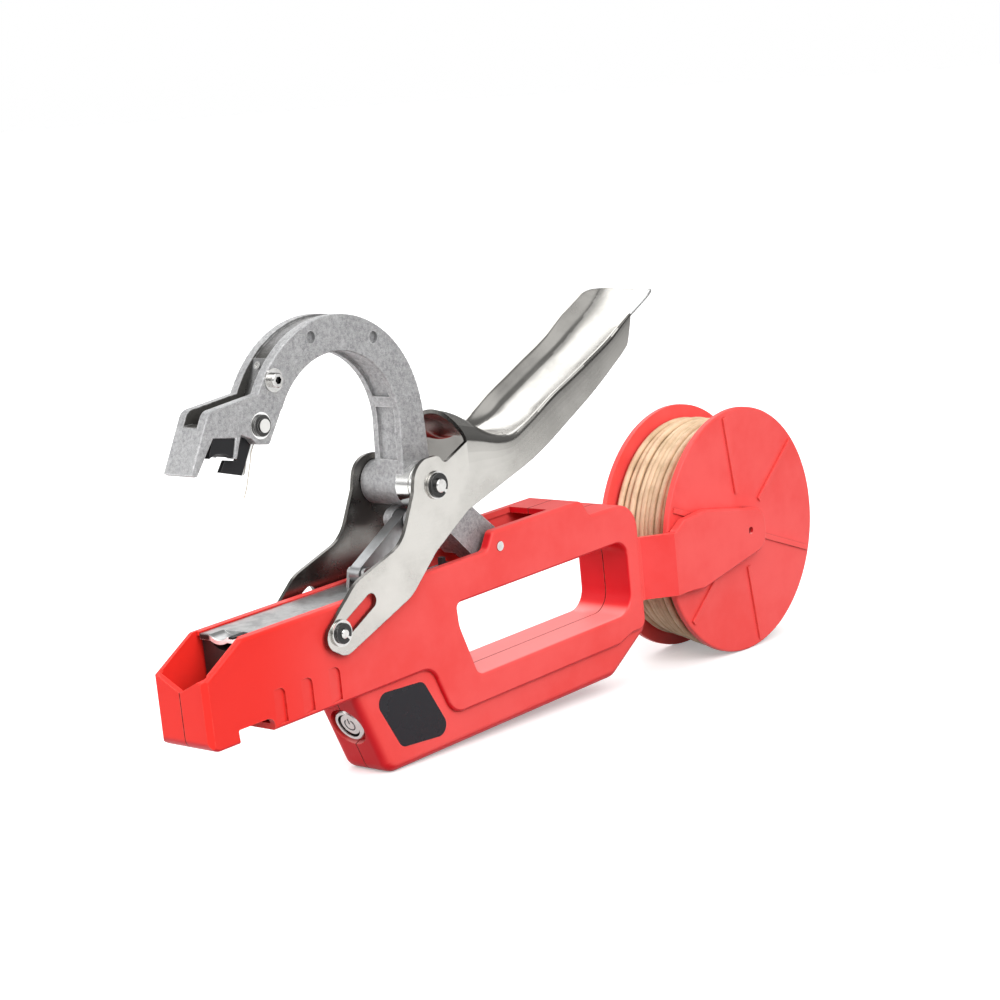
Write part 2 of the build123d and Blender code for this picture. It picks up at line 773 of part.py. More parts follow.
def battery_cells():
    """Two round cells in line in the lower bar."""
    cells = []
    for x in CELLS_X:
        can = bar(x, x + CELL_LENGTH - CELL_CAP_T, CELL_Z, CELL_R)
        cells.append(can + bar(x, x + CELL_LENGTH, CELL_Z, CELL_CAP_R))
    return cells


def button_bezel():
    """Steel ring and barrel of the push button."""
    ring = button_rod(BEZEL_R, RECESS_DEPTH, BEZEL_RISE) + button_rod(BARREL_R, BARREL_LENGTH, RECESS_DEPTH)
    ring = chamfer(ring.edges().sort_by(Axis.X)[0], BEZEL_RISE)
    ring -= button_rod(BUTTON_R + BUTTON_PLAY, CAP_WELL, -PAST)
    return ring - button_rod(BARREL_BORE_R, BARREL_LENGTH + PAST, 0)


def button_nut():
    """Hexagon nut behind the belly wall."""
    nut = extrude(button_plane(NUT_R) * RegularPolygon(NUT_R, 6), NUT_T)
    return nut - button_rod(BARREL_R + RUN, BARREL_LENGTH, 0)


def button_switch():
    """Switch insert at the back of the barrel."""
    return button_rod(INSERT_R, *INSERT_DEPTHS)


def button_cap():
    """Round cap that travels into the barrel."""
    cap = button_rod(BUTTON_R, *CAP_DEPTHS)
    return fillet(cap.edges().sort_by(Axis.X)[0], BEZEL_RISE - 2 * RUN)


def gear_motor():
    """Round motor behind its gearbox, with a stepped tail."""
    length, radius = MOTOR_TAIL
    return bar(*MOTOR_X, DRIVE_Z, MOTOR_R) + bar(MOTOR_X[1], MOTOR_X[1] + length, DRIVE_Z, radius)


def motor_gearbox():
    """Planetary gearbox on the motor's front."""
    length, radius = GEARBOX_NOSE
    can = bar(GEARBOX_FRONT_X, MOTOR_X[0], DRIVE_Z, GEARBOX_R)
    return can + bar(GEARBOX_FRONT_X - length, GEARBOX_FRONT_X, DRIVE_Z, radius)


def shaft_coupling():
    """Coupling on the gearbox's output, with the output stub inside."""
    return bar(*COUPLING_X, DRIVE_Z, COUPLING_R)


def twister_shaft():
    """Shaft from the coupling to the twister head."""
    return bar(SHAFT_FRONT_X, COUPLING_X[0], DRIVE_Z, SHAFT_R)


def shaft_bearing():
    """Flanged bush that carries the twister shaft."""
    bush = bar(GUIDE_FRONT_X, GUIDE_FRONT_X + BEARING_LENGTH, DRIVE_Z, BEARING_R)
    bush += bar(BEARING_RIM_X, GUIDE_FRONT_X, DRIVE_Z, BEARING_RIM_R)
    return bush - bar(SHAFT_FRONT_X, COUPLING_X[1], DRIVE_Z, SHAFT_R + RUN)


def twister_head():
    """Two-horned disc that catches and twists the wire."""
    horn = block(HORN_FRONT_X, SHAFT_FRONT_X, -HEAD_R, -HORN_IN, DRIVE_Z - HORN_HALF, DRIVE_Z + HORN_HALF)
    horns = both_sides(horn) & bar(HORN_FRONT_X, SHAFT_FRONT_X, DRIVE_Z, HEAD_R)
    disc = bar(SHAFT_FRONT_X, HEAD_REAR_X, DRIVE_Z, HEAD_R)
    return disc + horns - bar(SHAFT_FRONT_X, HEAD_REAR_X + PAST, DRIVE_Z, SHAFT_R + RUN)


def guide_block():
    """Dark block that carries the feed plate, with a bulkhead for the shaft and ears on the slot pin."""
    across = (-GUIDE_HALF, GUIDE_HALF)
    slab = block(GUIDE_FRONT_X, GUIDE_REAR_X, *across, GUIDE_UNDER_Z, GUIDE_TOP_Z)
    slab += block(GUIDE_FRONT_X, BULKHEAD_REAR_X, *across, BULKHEAD_BOTTOM_Z, GUIDE_TOP_Z)
    slab += both_sides(block(*GUIDE_EAR_X, -GUIDE_HALF, -GUIDE_EAR_IN, GUIDE_EAR_BOTTOM_Z, GUIDE_UNDER_Z))
    slab -= bar(GUIDE_FRONT_X - PAST, GUIDE_FRONT_X + DISH_LENGTH, TROUGH_Z, TROUGH_R)
    slab -= rod(SLOT_PIN, SLOT_PIN_R + RUN, THROUGH, -THROUGH)
    return slab - bar(GUIDE_FRONT_X - PAST, BULKHEAD_REAR_X + PAST, DRIVE_Z, BEARING_R + RUN)


def feed_plate():
    """Sliding plate with thin edges under the shell lips, a dished front and two ears for the link."""
    edge_x = PLATE_FRONT_X + PLATE_EDGE_BACK
    edge_z = LIP_UNDER_Z - PLATE_LIP_GAP
    plate = block(PLATE_FRONT_X, PLATE_REAR_X, -PLATE_HALF, PLATE_HALF, PLATE_UNDER_Z, PLATE_TOP_Z)
    plate += block(edge_x, PLATE_REAR_X, -PLATE_EDGE_HALF, PLATE_EDGE_HALF, PLATE_UNDER_Z, edge_z)
    dish_r = (DISH_HALF ** 2 + DISH_DEPTH ** 2) / (2 * DISH_DEPTH)
    centre = Pos(0, PLATE_TOP_Z - DISH_DEPTH + dish_r)
    hollow = centre * Circle(dish_r - DISH_T)
    shell = centre * Circle(dish_r) - hollow
    shell &= Pos(0, PLATE_TOP_Z - DISH_CUT / 2) * Rectangle(2 * PLATE_HALF, DISH_CUT)
    plate -= extrude(Plane.YZ.offset(PLATE_FRONT_X - PAST) * hollow, DISH_LENGTH + PAST)
    plate += extrude(Plane.YZ.offset(PLATE_FRONT_X) * shell, DISH_LENGTH)
    x, z = LINK_FRONT
    foot, top, rise = EAR
    ear = outline([
        (x - foot, PLATE_TOP_Z - EAR_SINK, 0),
        (x + foot, PLATE_TOP_Z - EAR_SINK, 0),
        (x + top, z + rise, top),
        (x - top, z + rise, top),
    ])
    plate += both_sides(prism(ear, -EAR_IN, -EAR_OUT))
    return plate - rod(LINK_FRONT, FRONT_PIN_R, THROUGH, -THROUGH)


def cutter_blade():
    """Small toothed blade on the near front corner of the feed plate."""
    x = PLATE_FRONT_X - BLADE_LEAD
    end_y = BLADE_OUT_Y + TOOTH_COUNT * TOOTH_PITCH
    teeth = [(x, BLADE_OUT_Y)]
    for tooth in range(TOOTH_COUNT):
        y = BLADE_OUT_Y + tooth * TOOTH_PITCH
        teeth += [(x - TOOTH_PEAK[0], y + TOOTH_PEAK[1]), (x, y + TOOTH_PITCH)]
    profile = polygon(teeth + [(x + BLADE_LENGTH, end_y), (x + BLADE_LENGTH, BLADE_OUT_Y)])
    return extrude(Pos(0, 0, PLATE_TOP_Z) * profile, BLADE_RISE)


def drive_link():
    """Flat link: a close eye on the plate and a lengthened eye on the hook for the lost motion."""
    eye_r = LINK_PIN_R + LINK_PLAY
    face = web(LINK_FRONT, LINK_FRONT_R, LINK_REAR, LINK_REAR_R)
    face -= web(along(LINK_REAR, LINK_FRONT, LINK_LOST), eye_r, LINK_REAR, eye_r)
    face -= Pos(*LINK_FRONT) * Circle(FRONT_PIN_R + RUN)
    return prism(face, LINK_HALF, -LINK_HALF)


def hook_side():
    """Side view of the hook: half ring, leg and slanted tip with a tooth on it."""
    ring = Pos(*HOOK_CENTRE) * (Circle(HOOK_OUTER_R) - Circle(HOOK_INNER_R))
    right = HOOK_CENTRE[0] + HOOK_OUTER_R
    left = HOOK_CENTRE[0] + HOOK_INNER_R
    leg = polygon([
        (left, HOOK_LEG_TOP_Z),
        (right, HOOK_LEG_TOP_Z),
        (right + HOOK_LEG_TAPER[1], LEVER_PIN[1]),
        (left - HOOK_LEG_TAPER[0], LEVER_PIN[1]),
    ])
    return (ring & fan(HOOK_RING)) + leg + outline(HOOK_TIP)


def hook_channels():
    """Everything that is cut out between the hook's cheeks for the wire, the clip and the moving jaw."""
    shallow = Pos(*HOOK_CENTRE) * (Circle(HOOK_OUTER_R + PAST) - Circle(HOOK_OUTER_R - HOOK_CHANNEL_DEPTH))
    length = math.dist(CLIP_FOOT, CLIP_TOP)
    clip_seat = polygon([
        along(CLIP_FOOT, CLIP_TOP, 0, CLIP_T),
        along(CLIP_FOOT, CLIP_TOP, length, CLIP_T),
        along(CLIP_FOOT, CLIP_TOP, length, -CLIP_CUT),
        along(CLIP_FOOT, CLIP_TOP, 0, -CLIP_CUT),
    ])
    face = (shallow & fan(HOOK_CHANNEL)) + clip_seat + polygon(JAW_SLIT) + polygon(TIP_MOUTH)
    return prism(face, HOOK_CHANNEL_HALF, -HOOK_CHANNEL_HALF)


def hook_casting():
    """Cast hook with cheeks and a channel, the lever boss, the arm to the pivot and the link's fork."""
    hook = prism(hook_side(), HOOK_HALF, -HOOK_HALF)
    hook = fillet(rim_edges(hook, HOOK_HALF) + rim_edges(hook, -HOOK_HALF), HOOK_ROUND)
    hook -= hook_channels()
    inner = Pos(*HOOK_CENTRE) * (Circle(HOOK_INNER_R + INNER_GROOVE_DEPTH) - Circle(HOOK_INNER_R - PAST))
    inner_face = (inner & fan(INNER_GROOVE)) + polygon(LEG_POCKET)
    hook -= prism(inner_face, INNER_GROOVE_HALF, -INNER_GROOVE_HALF)
    hook += rod(LEVER_PIN, BOSS_R, BOSS_FAR_Y, BUSH_IN)
    hook += prism(web(ARM_START, ARM_START_R, HOOK_PIVOT, ARM_R), HOOK_HALF, -HOOK_HALF)
    fork = web(LINK_REAR, FORK_R, FORK_HEEL, FORK_R)
    hook += both_sides(prism(fork, -FORK_GAP_HALF, -HOOK_HALF))
    hook -= rod(LEVER_PIN, BUSH_R + RUN, BUSH_IN, -HOOK_HALF - PAST)
    for degrees in (0, LINK_SWING / 2, LINK_SWING):
        link_end = turned(FORK_ROOM_END, LINK_REAR, -degrees)
        room = web(LINK_REAR, FORK_ROOM_R, link_end, FORK_ROOM_R)
        hook -= prism(room, FORK_GAP_HALF, -FORK_GAP_HALF)
    hook -= rod(HOOK_PIVOT, PIVOT_ROOM_R, HOOK_HALF + PAST, PIVOT_FAR_Y)
    holes = [
        (LEVER_PIN, LEVER_PIN_R),
        (LINK_REAR, LINK_PIN_R),
        (JAW_PIVOT, JAW_PIN_R),
        (HOOK_PIVOT, PIVOT_PIN_R + RUN),
    ]
    for place, radius in holes:
        hook -= rod(place, radius, THROUGH, -THROUGH)
    hook -= rod(HOOK_SCREW, SCREW_R, HOOK_SCREW_END, -THROUGH)
    for place in DIMPLES:
        hook -= both_sides(rod(place, DIMPLE_R, DIMPLE_DEPTH - HOOK_HALF, -HOOK_HALF - PAST))
    return hook


def fixed_jaw():
    """Black block in the notch between the hook's tip and its tooth, hollowed below."""
    face = polygon([NOTCH_CORNER, TOOTH_TOP] + FIXED_JAW_LOW)
    face -= Pos(*FIXED_JAW_HOLLOW) * Circle(FIXED_JAW_HOLLOW_R)
    return prism(face, FIXED_JAW_HALF, -FIXED_JAW_HALF)


def moving_jaw():
    """Black flat finger on a wider hub round the jaw pin, with a foot under the fixed jaw."""
    half = HOOK_CHANNEL_HALF - JAW_PLAY
    jaw = prism(polygon(MOVING_JAW), JAW_T - half, -half) + rod(JAW_PIVOT, JAW_EYE_R, half, -half)
    return jaw - rod(JAW_PIVOT, JAW_PIN_R + RUN, THROUGH, -THROUGH)


def jaw_backing():
    """Bright strip along the moving jaw's back, rounded at its foot."""
    strip = outline([
        (*JAW_FOOT, 0),
        (*along(JAW_FOOT, JAW_HEEL, BACKING_LENGTH), 0),
        (*along(JAW_FOOT, JAW_HEEL, BACKING_LENGTH, BACKING_T), 0),
        (*along(JAW_FOOT, JAW_HEEL, 0, BACKING_T), BACKING_ROUND),
    ])
    return prism(strip, *BACKING_Y)


def jaw_washer():
    """Bright washer under the jaw pin's head."""
    washer = rod(JAW_PIVOT, JAW_WASHER_R, -HOOK_HALF, -HOOK_HALF - JAW_WASHER_T)
    return washer - rod(JAW_PIVOT, JAW_PIN_R + RUN, 0, -THROUGH)


def jaw_pin():
    """Jaw pin with a round head on the near cheek, a small bright end and a cap on the far cheek."""
    head_y = -HOOK_HALF - JAW_WASHER_T
    tip_y = head_y - JAW_HEAD_T
    pin = rod(JAW_PIVOT, JAW_PIN_R, HOOK_HALF, head_y) + rod(JAW_PIVOT, JAW_HEAD_R, head_y, tip_y)
    pin += rod(JAW_PIVOT, JAW_TIP_R, tip_y, tip_y - JAW_TIP_T)
    return pin + rod(JAW_PIVOT, JAW_CAP_R, HOOK_HALF + JAW_CAP_T, HOOK_HALF)


def hook_washer():
    """Washer under the socket screw."""
    washer = rod(HOOK_SCREW, HOOK_WASHER_R, -HOOK_HALF, -HOOK_HALF - HOOK_WASHER_T)
    return washer - rod(HOOK_SCREW, SCREW_R + RUN, 0, -THROUGH)


def hook_screw():
    """Low socket-head screw in the near cheek."""
    head_y = -HOOK_HALF - HOOK_WASHER_T
    face_y = head_y - HOOK_HEAD_T
    head = rod(HOOK_SCREW, HOOK_HEAD_R, head_y, face_y)
    head = chamfer(rim_edges(head, face_y), PIN_BEVEL)
    hexagon = Pos(*HOOK_SCREW) * RegularPolygon(HOOK_SOCKET_R, 6)
    socket = prism(hexagon, face_y + HOOK_SOCKET_DEPTH, face_y - PAST)
    return rod(HOOK_SCREW, SCREW_R, HOOK_SCREW_END, head_y) + head - socket


def wire_clip():
    """Small flat clip in the hook's channel that steadies the wire."""
    length = math.dist(CLIP_FOOT, CLIP_TOP)
    under = [along(CLIP_FOOT, CLIP_TOP, length, CLIP_T), along(CLIP_FOOT, CLIP_TOP, 0, CLIP_T)]
    return prism(polygon([CLIP_FOOT, CLIP_TOP] + under), HOOK_CHANNEL_HALF, -HOOK_CHANNEL_HALF)


def clip_screw():
    """Tiny socket screw on the clip."""
    x, z = along(CLIP_FOOT, CLIP_TOP, CLIP_SCREW_AT * math.dist(CLIP_FOOT, CLIP_TOP))
    normal = (CLIP_FOOT[1] - CLIP_TOP[1], 0, CLIP_TOP[0] - CLIP_FOOT[0])
    face = Plane((x, 0, z), x_dir=(0, 1, 0), z_dir=normal)
    ring = extrude(face * (Circle(CLIP_SCREW_R) - Circle(CLIP_SOCKET_R)), CLIP_SCREW_T)
    return ring + extrude(face * Circle(CLIP_SOCKET_R), 2 * RUN)


def tie_wire_end():
    """Thin loose end of tie wire that hangs beside the moving jaw, against the near cheek."""
    run = Line(*WIRE_END)
    return sweep(Plane(run @ 0, z_dir=run % 0) * Circle(WIRE_END_R), path=run)


def lever_bush():
    """Bright turned bush, let into the hook's near cheek, that reaches to the near lever leg."""
    bush = rod(LEVER_PIN, BUSH_R, BUSH_IN, BUSH_PLAY - LEVER_IN)
    bush -= rod(LEVER_PIN, BUSH_R + PAST, *BUSH_GROOVE) - rod(LEVER_PIN, BUSH_GROOVE_R, *BUSH_GROOVE)
    return bush - rod(LEVER_PIN, LEVER_PIN_R, 0, -THROUGH)


def cross_pin(place, radius, end_y):
    """Pin across the tool with a clip groove near each end and bevelled tips."""
    pin = rod(place, radius, end_y, -end_y)
    pin = chamfer(rim_edges(pin, end_y) + rim_edges(pin, -end_y), PIN_BEVEL)
    start = -LEVER_OUT - RETAINER_GAP - WASHER_T
    end = start - RETAINER_T
    ring = rod(place, radius + PAST, start, end) - rod(place, radius - RETAINER_BITE, start, end)
    return pin - both_sides(ring)


def washers(place, radius, outer):
    """Two washers just outside the lever legs."""
    start = -LEVER_OUT - WASHER_GAP
    return pair(rod(place, outer, start, start - WASHER_T) - rod(place, radius + RUN, 0, -THROUGH))


def retainers(place, radius):
    """Two open retaining clips in the pin's grooves."""
    start = -LEVER_OUT - RETAINER_GAP - WASHER_T
    near = rod(place, radius + RETAINER_RISE, start, start - RETAINER_T)
    near -= rod(place, radius - RETAINER_BITE, 0, -THROUGH)
    mouth = Pos(*place) * Rot(0, 0, RETAINER_TURN) * polygon(RETAINER_MOUTH)
    return pair(near - prism(mouth, 0, -THROUGH))


def pivot_pin():
    """Hook pivot, stepped down where it passes through the walls."""
    end_y = BODY_HALF + PIVOT_END_RISE
    pin = rod(HOOK_PIVOT, PIVOT_PIN_R, CHANNEL_HALF, -CHANNEL_HALF)
    return pin + rod(HOOK_PIVOT, PIVOT_END_R, end_y, -end_y)


def return_spring():
    """Torsion spring round the pivot, with a tang in the hook and one in the far wall."""
    solid, gap, length = coil(SPRING_R, SPRING_D, SPRING_PITCH, SPRING_HALF_TURNS, SPRING_BEND)
    print(f"return spring: least gap {gap:.2f} mm, length {length:.2f} mm")
    return Pos(HOOK_PIVOT[0], PIVOT_FAR_Y + SPRING_GAP, HOOK_PIVOT[1]) * solid


def slot_path(degrees):
    """Place of the slot pin, seen from the lever at rest, when the hook has turned so far."""
    boss = turned(LEVER_PIN, HOOK_PIVOT, degrees)
    seen = (SLOT_PIN[0] - boss[0] + LEVER_PIN[0], SLOT_PIN[1] - boss[1] + LEVER_PIN[1])
    return turned(seen, LEVER_PIN, LEVER_TURN * degrees)


def slot_face():
    """Straight slot that holds the slot pin's whole path, set half way into the path's bulge."""
    start = slot_path(0)
    end = slot_path(SLOT_TURN)
    middle = slot_path(SLOT_TURN / 2)
    length = math.dist(start, end)
    rise = (middle[1] - start[1]) * (end[0] - start[0]) - (middle[0] - start[0]) * (end[1] - start[1])
    bulge = rise / length
    low = along(start, end, -SLOT_SPARE, -bulge / 2)
    high = along(start, end, length + SLOT_SPARE, -bulge / 2)
    return web(low, SLOT_WIDTH / 2, high, SLOT_WIDTH / 2)


def saddle_section(x, edge_z, middle_z):
    """Cross-section of the sheet between the legs: an arc from leg to leg."""
    half = LEVER_IN + SADDLE_LAP
    thick = LEVER_OUT - LEVER_IN
    over = ThreePointArc((-half, edge_z), (0, middle_z), (half, edge_z))
    under = ThreePointArc((half, edge_z - thick), (0, middle_z - thick), (-half, edge_z - thick))
    ends = [Line(over @ 1, under @ 0), Line(under @ 1, over @ 0)]
    return Plane.YZ.offset(x) * make_face(Wire([over, ends[0], under, ends[1]]))


def squeeze_lever():
    """One bent sheet: two slotted legs, an arch behind the boss and a trough that the palm presses."""
    lever = both_sides(prism(outline(LEVER_LEG), -LEVER_IN, -LEVER_OUT))
    saddle = loft([saddle_section(*station) for station in SADDLE], ruled=True)
    tip_x = SADDLE[-1][0]
    plan = Pos(tip_x / 2, 0) * Rectangle(tip_x, 2 * SADDLE_PLAN_HALF)
    plan = fillet(plan.vertices().group_by(Axis.X)[-1], SADDLE_CORNER)
    lever += saddle & extrude(Pos(0, 0, SADDLE_LOW_Z) * plan, SADDLE_HIGH_Z - SADDLE_LOW_Z)
    lever -= prism(slot_face(), THROUGH, -THROUGH)
    return lever - rod(LEVER_PIN, LEVER_PIN_R + RUN, THROUGH, -THROUGH)


def spool_flange():
    """Near flange of the spool with ribs on its outer face."""
    flange = rod(SPOOL, FLANGE_R, FLANGE_T - FLANGE_OUT, -FLANGE_OUT)
    flange = fillet(rim_edges(flange, -FLANGE_OUT), FLANGE_ROUND)
    for number in range(FLANGE_RIBS):
        turn = Rot(0, 0, FLANGE_RIB_TURN + 360 * number / FLANGE_RIBS)
        rib = Pos(*SPOOL) * turn * Pos(FLANGE_RIB_R, 0) * Rectangle(*FLANGE_RIB)
        flange += prism(rib, -FLANGE_OUT, -FLANGE_OUT - FLANGE_RIB_RISE)
    return flange - rod(SPOOL, AXLE_R + RUN, 0, -THROUGH)


def spool_hub():
    """Tube between the flanges."""
    half = FLANGE_OUT - FLANGE_T
    return rod(SPOOL, HUB_R, half, -half) - rod(SPOOL, AXLE_R + RUN, THROUGH, -THROUGH)


def wire_core():
    """Inner layers of wire as one plain ring."""
    half = FLANGE_OUT - FLANGE_T - CORE_GAP
    radius = WOUND_R - WIRE_D / 2 - CORE_GAP
    return rod(SPOOL, radius, half, -half) - rod(SPOOL, HUB_R + CORE_GAP, THROUGH, -THROUGH)


def wire_winding():
    """Outer layer of wire, one unbroken run whose ends go square into the flanges."""
    solid, gap, length = coil(WOUND_R, WIRE_D, WIRE_PITCH, WIRE_HALF_TURNS, WIRE_BEND)
    print(f"wire winding: least gap {gap:.2f} mm, length {length:.2f} mm")
    return Pos(SPOOL[0], -length / 2, SPOOL[1]) * solid


def spool_axle():
    """Axle held in the sockets of the two arms."""
    end_y = ARM_IN + AXLE_REACH
    return rod(SPOOL, AXLE_R, end_y, -end_y)


def friction_washers():
    """Thin washers between the spool and the arms."""
    near = rod(SPOOL, FRICTION_R, -FLANGE_OUT - FRICTION_GAP, FRICTION_GAP - ARM_IN)
    return pair(near - rod(SPOOL, AXLE_R + RUN, 0, -THROUGH))


def micro_switch():
    """Small switch under the hook's arm, with a well for its plunger."""
    switch = block(*SWITCH_X, -SWITCH_HALF, SWITCH_HALF, *SWITCH_Z)
    for place in SWITCH_HOLES:
        switch -= rod(place, SWITCH_HOLE_R, THROUGH, -THROUGH)
    well_half = PLUNGER_HALF + PLUNGER_PLAY
    well_x = (PLUNGER_X[0] - PLUNGER_PLAY, PLUNGER_X[1] + PLUNGER_PLAY)
    return switch - block(*well_x, -well_half, well_half, PLUNGER_WELL_Z, SWITCH_Z[1] + PAST)


def switch_plunger():
    """Plunger that the hook's arm presses."""
    return block(*PLUNGER_X, -PLUNGER_HALF, PLUNGER_HALF, *PLUNGER_Z)


def standing():
    """Turn that sets the tool on the spool rims and the belly's front corner, in degrees."""
    lean = math.atan2(1, FRONT_LEAN)
    corner_x = BELLY_CORNER_X + BELLY_CORNER_ROUND / math.tan((math.pi - lean) / 2)
    corner_z = BELLY_BOTTOM_Z + BELLY_CORNER_ROUND
    span = math.dist((corner_x, corner_z), SPOOL)
    line = math.atan2(SPOOL[1] - corner_z, SPOOL[0] - corner_x)
    return math.degrees(math.asin((FLANGE_R - BELLY_CORNER_ROUND) / span) - line)


def main():
    """Build every node, set it down and write it."""
    nodes = {
        "near_shell": near_shell(),
        "far_shell": far_shell(),
        "shell_screws": shell_screws(),
        "label_plate": label_plate(),
        "guide_block": guide_block(),
        "slot_pin": cross_pin(SLOT_PIN, SLOT_PIN_R, SLOT_PIN_END),
        "slot_washers": washers(SLOT_PIN, SLOT_PIN_R, SLOT_WASHER_R),
        "slot_clips": retainers(SLOT_PIN, SLOT_PIN_R),
        "pivot_pin": pivot_pin(),
        "return_spring": return_spring(),
        "gear_motor": gear_motor(),
        "motor_gearbox": motor_gearbox(),
        "shaft_bearing": shaft_bearing(),
        "button_bezel": button_bezel(),
        "button_nut": button_nut(),
        "button_switch": button_switch(),
        "battery_cells": battery_cells(),
        "circuit_board": circuit_board(),
        "micro_switch": micro_switch(),
        "charge_socket": charge_socket(),
        "spool_axle": spool_axle(),
        "friction_washers": friction_washers(),
        "feed_plate": feed_plate(),
        "cutter_blade": cutter_blade(),
        "link_front_pin": rod(LINK_FRONT, FRONT_PIN_R, EAR_OUT, -EAR_OUT),
        "drive_link": drive_link(),
        "hook_casting": hook_casting(),
        "fixed_jaw": fixed_jaw(),
        "jaw_washer": jaw_washer(),
        "jaw_pin": jaw_pin(),
        "hook_washer": hook_washer(),
        "hook_screw": hook_screw(),
        "wire_clip": wire_clip(),
        "clip_screw": clip_screw(),
        "tie_wire_end": tie_wire_end(),
        "lever_bush": lever_bush(),
        "lever_pin": cross_pin(LEVER_PIN, LEVER_PIN_R, LEVER_PIN_END),
        "lever_washers": washers(LEVER_PIN, LEVER_PIN_R, LEVER_WASHER_R),
        "lever_clips": retainers(LEVER_PIN, LEVER_PIN_R),
        "link_rear_pin": rod(LINK_REAR, LINK_PIN_R, HOOK_HALF, -HOOK_HALF),
        "moving_jaw": moving_jaw(),
        "jaw_backing": jaw_backing(),
        "squeeze_lever": squeeze_lever(),
        "spool_near_flange": spool_flange(),
        "spool_far_flange": mirror(spool_flange(), about=Plane.XZ),
        "spool_hub": spool_hub(),
        "wire_core": wire_core(),
        "wire_winding": wire_winding(),
        "twister_head": twister_head(),
        "twister_shaft": twister_shaft(),
        "shaft_coupling": shaft_coupling(),
        "button_cap": button_cap(),
        "switch_plunger": switch_plunger(),
    }
    os.makedirs("parts", exist_ok=True)
    pitch = standing()
    whole = Compound([Rot(0, -pitch, 0) * s for node in nodes.values() for s in Compound(node).solids()])
    box = whole.bounding_box()
    place = Pos(-box.center().X, 0, -box.min.Z) * Rot(0, -pitch, 0)
    print(f"standing pitch {pitch:.4f} shift {-box.center().X:.4f} {-box.min.Z:.4f}")
    for name, node in nodes.items():
        export_step(place * Compound(node), f"parts/{name}.step")


if __name__ == "__main__":
    main()
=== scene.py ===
"""Looks of an electric vine tying tool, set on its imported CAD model.

Shapes are worked out in the tool's own axes, in millimetres: X from the nose to the spool, Y across
with the labelled side at -Y, Z up. ToolFrame then sets them down in the row frame, in metres.
"""

from __future__ import annotations

import json
import logging
import math
from dataclasses import dataclass, replace
from enum import Enum
from functools import reduce
from typing import Any, Sequence

import bpy
import numpy as np
from mathutils import Matrix
from mathutils.geometry import tessellate_polygon

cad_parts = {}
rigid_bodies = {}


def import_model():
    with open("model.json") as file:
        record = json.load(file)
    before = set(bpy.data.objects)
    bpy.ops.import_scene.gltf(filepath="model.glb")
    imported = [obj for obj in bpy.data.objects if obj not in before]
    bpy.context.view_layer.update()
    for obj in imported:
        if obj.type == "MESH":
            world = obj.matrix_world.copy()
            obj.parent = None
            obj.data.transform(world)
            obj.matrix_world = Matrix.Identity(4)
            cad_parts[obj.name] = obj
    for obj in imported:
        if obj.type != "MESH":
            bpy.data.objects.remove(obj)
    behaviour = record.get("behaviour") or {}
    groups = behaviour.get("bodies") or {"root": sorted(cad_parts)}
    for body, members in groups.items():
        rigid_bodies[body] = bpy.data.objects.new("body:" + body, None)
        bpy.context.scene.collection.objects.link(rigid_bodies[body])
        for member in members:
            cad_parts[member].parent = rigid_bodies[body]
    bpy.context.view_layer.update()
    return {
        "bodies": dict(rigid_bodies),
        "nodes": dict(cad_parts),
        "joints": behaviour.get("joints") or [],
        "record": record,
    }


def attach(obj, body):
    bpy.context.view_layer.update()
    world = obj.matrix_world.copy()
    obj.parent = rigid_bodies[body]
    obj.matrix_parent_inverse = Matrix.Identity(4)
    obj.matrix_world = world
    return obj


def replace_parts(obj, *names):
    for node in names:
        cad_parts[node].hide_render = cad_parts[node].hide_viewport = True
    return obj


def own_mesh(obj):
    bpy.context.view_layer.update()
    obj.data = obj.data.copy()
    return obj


LOG = logging.getLogger("vine_tying_tool")
MM = 0.001
SEED = 11
TINY = 1e-9
LEAST_RADIUS = 0.01
ACROSS = np.array([0.0, 1.0, 0.0])
ROUND_CREASE = 60.0

Colour = tuple[float, float, float]
Pair = tuple[float, float]
Shape = tuple[np.ndarray, list]
Socket = bpy.types.NodeSocket


@dataclass(frozen=True)
class ToolFrame:
    """Turn and shift from the tool's axes to the row frame."""

    cos: float
    sin: float
    shift_x: float
    shift_z: float

    HOOK_PIVOT = (148.0, 76.6)
    SPOOL = (290.8, 50.0)

    @classmethod
    def from_joints(cls, joints: Sequence[dict[str, Any]]) -> "ToolFrame":
        """Find the turn that carries the hook pivot and the spool's axis to their joints.

        Args:
            joints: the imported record's joints, with places in metres.

        Returns:
            The frame in which both axes lie where the joints say.
        """
        place = {joint["name"]: joint.get("pos_m") for joint in joints}
        start, end = place["hook_pivot"], place["spool_spin"]
        drawn = math.atan2(cls.SPOOL[1] - cls.HOOK_PIVOT[1], cls.SPOOL[0] - cls.HOOK_PIVOT[0])
        turn = math.atan2(end[2] - start[2], end[0] - start[0]) - drawn
        cos, sin = math.cos(turn), math.sin(turn)
        x, z = cls.SPOOL
        return cls(cos, sin, end[0] / MM - x * cos + z * sin, end[2] / MM - x * sin - z * cos)

    def turn(self, vectors: np.ndarray) -> np.ndarray:
        """Turn directions of the tool into the row frame."""
        x, y, z = np.moveaxis(np.asarray(vectors, float), -1, 0)
        return np.stack([x * self.cos - z * self.sin, y, x * self.sin + z * self.cos], axis=-1)

    def place(self, points: np.ndarray) -> np.ndarray:
        """Set points of the tool, in millimetres, down in the row frame, in metres."""
        return (self.turn(points) + np.array([self.shift_x, 0.0, self.shift_z])) * MM

    def back(self, vectors: np.ndarray) -> np.ndarray:
        """Turn directions of the row frame into the tool's axes."""
        return replace(self, sin=-self.sin).turn(vectors)

    def drawn(self, points: np.ndarray) -> np.ndarray:
        """Points of the row frame, in metres, as they lie in the tool's axes, in millimetres."""
        return self.back(points / MM - np.array([self.shift_x, 0.0, self.shift_z]))


# Shapes as whole arrays


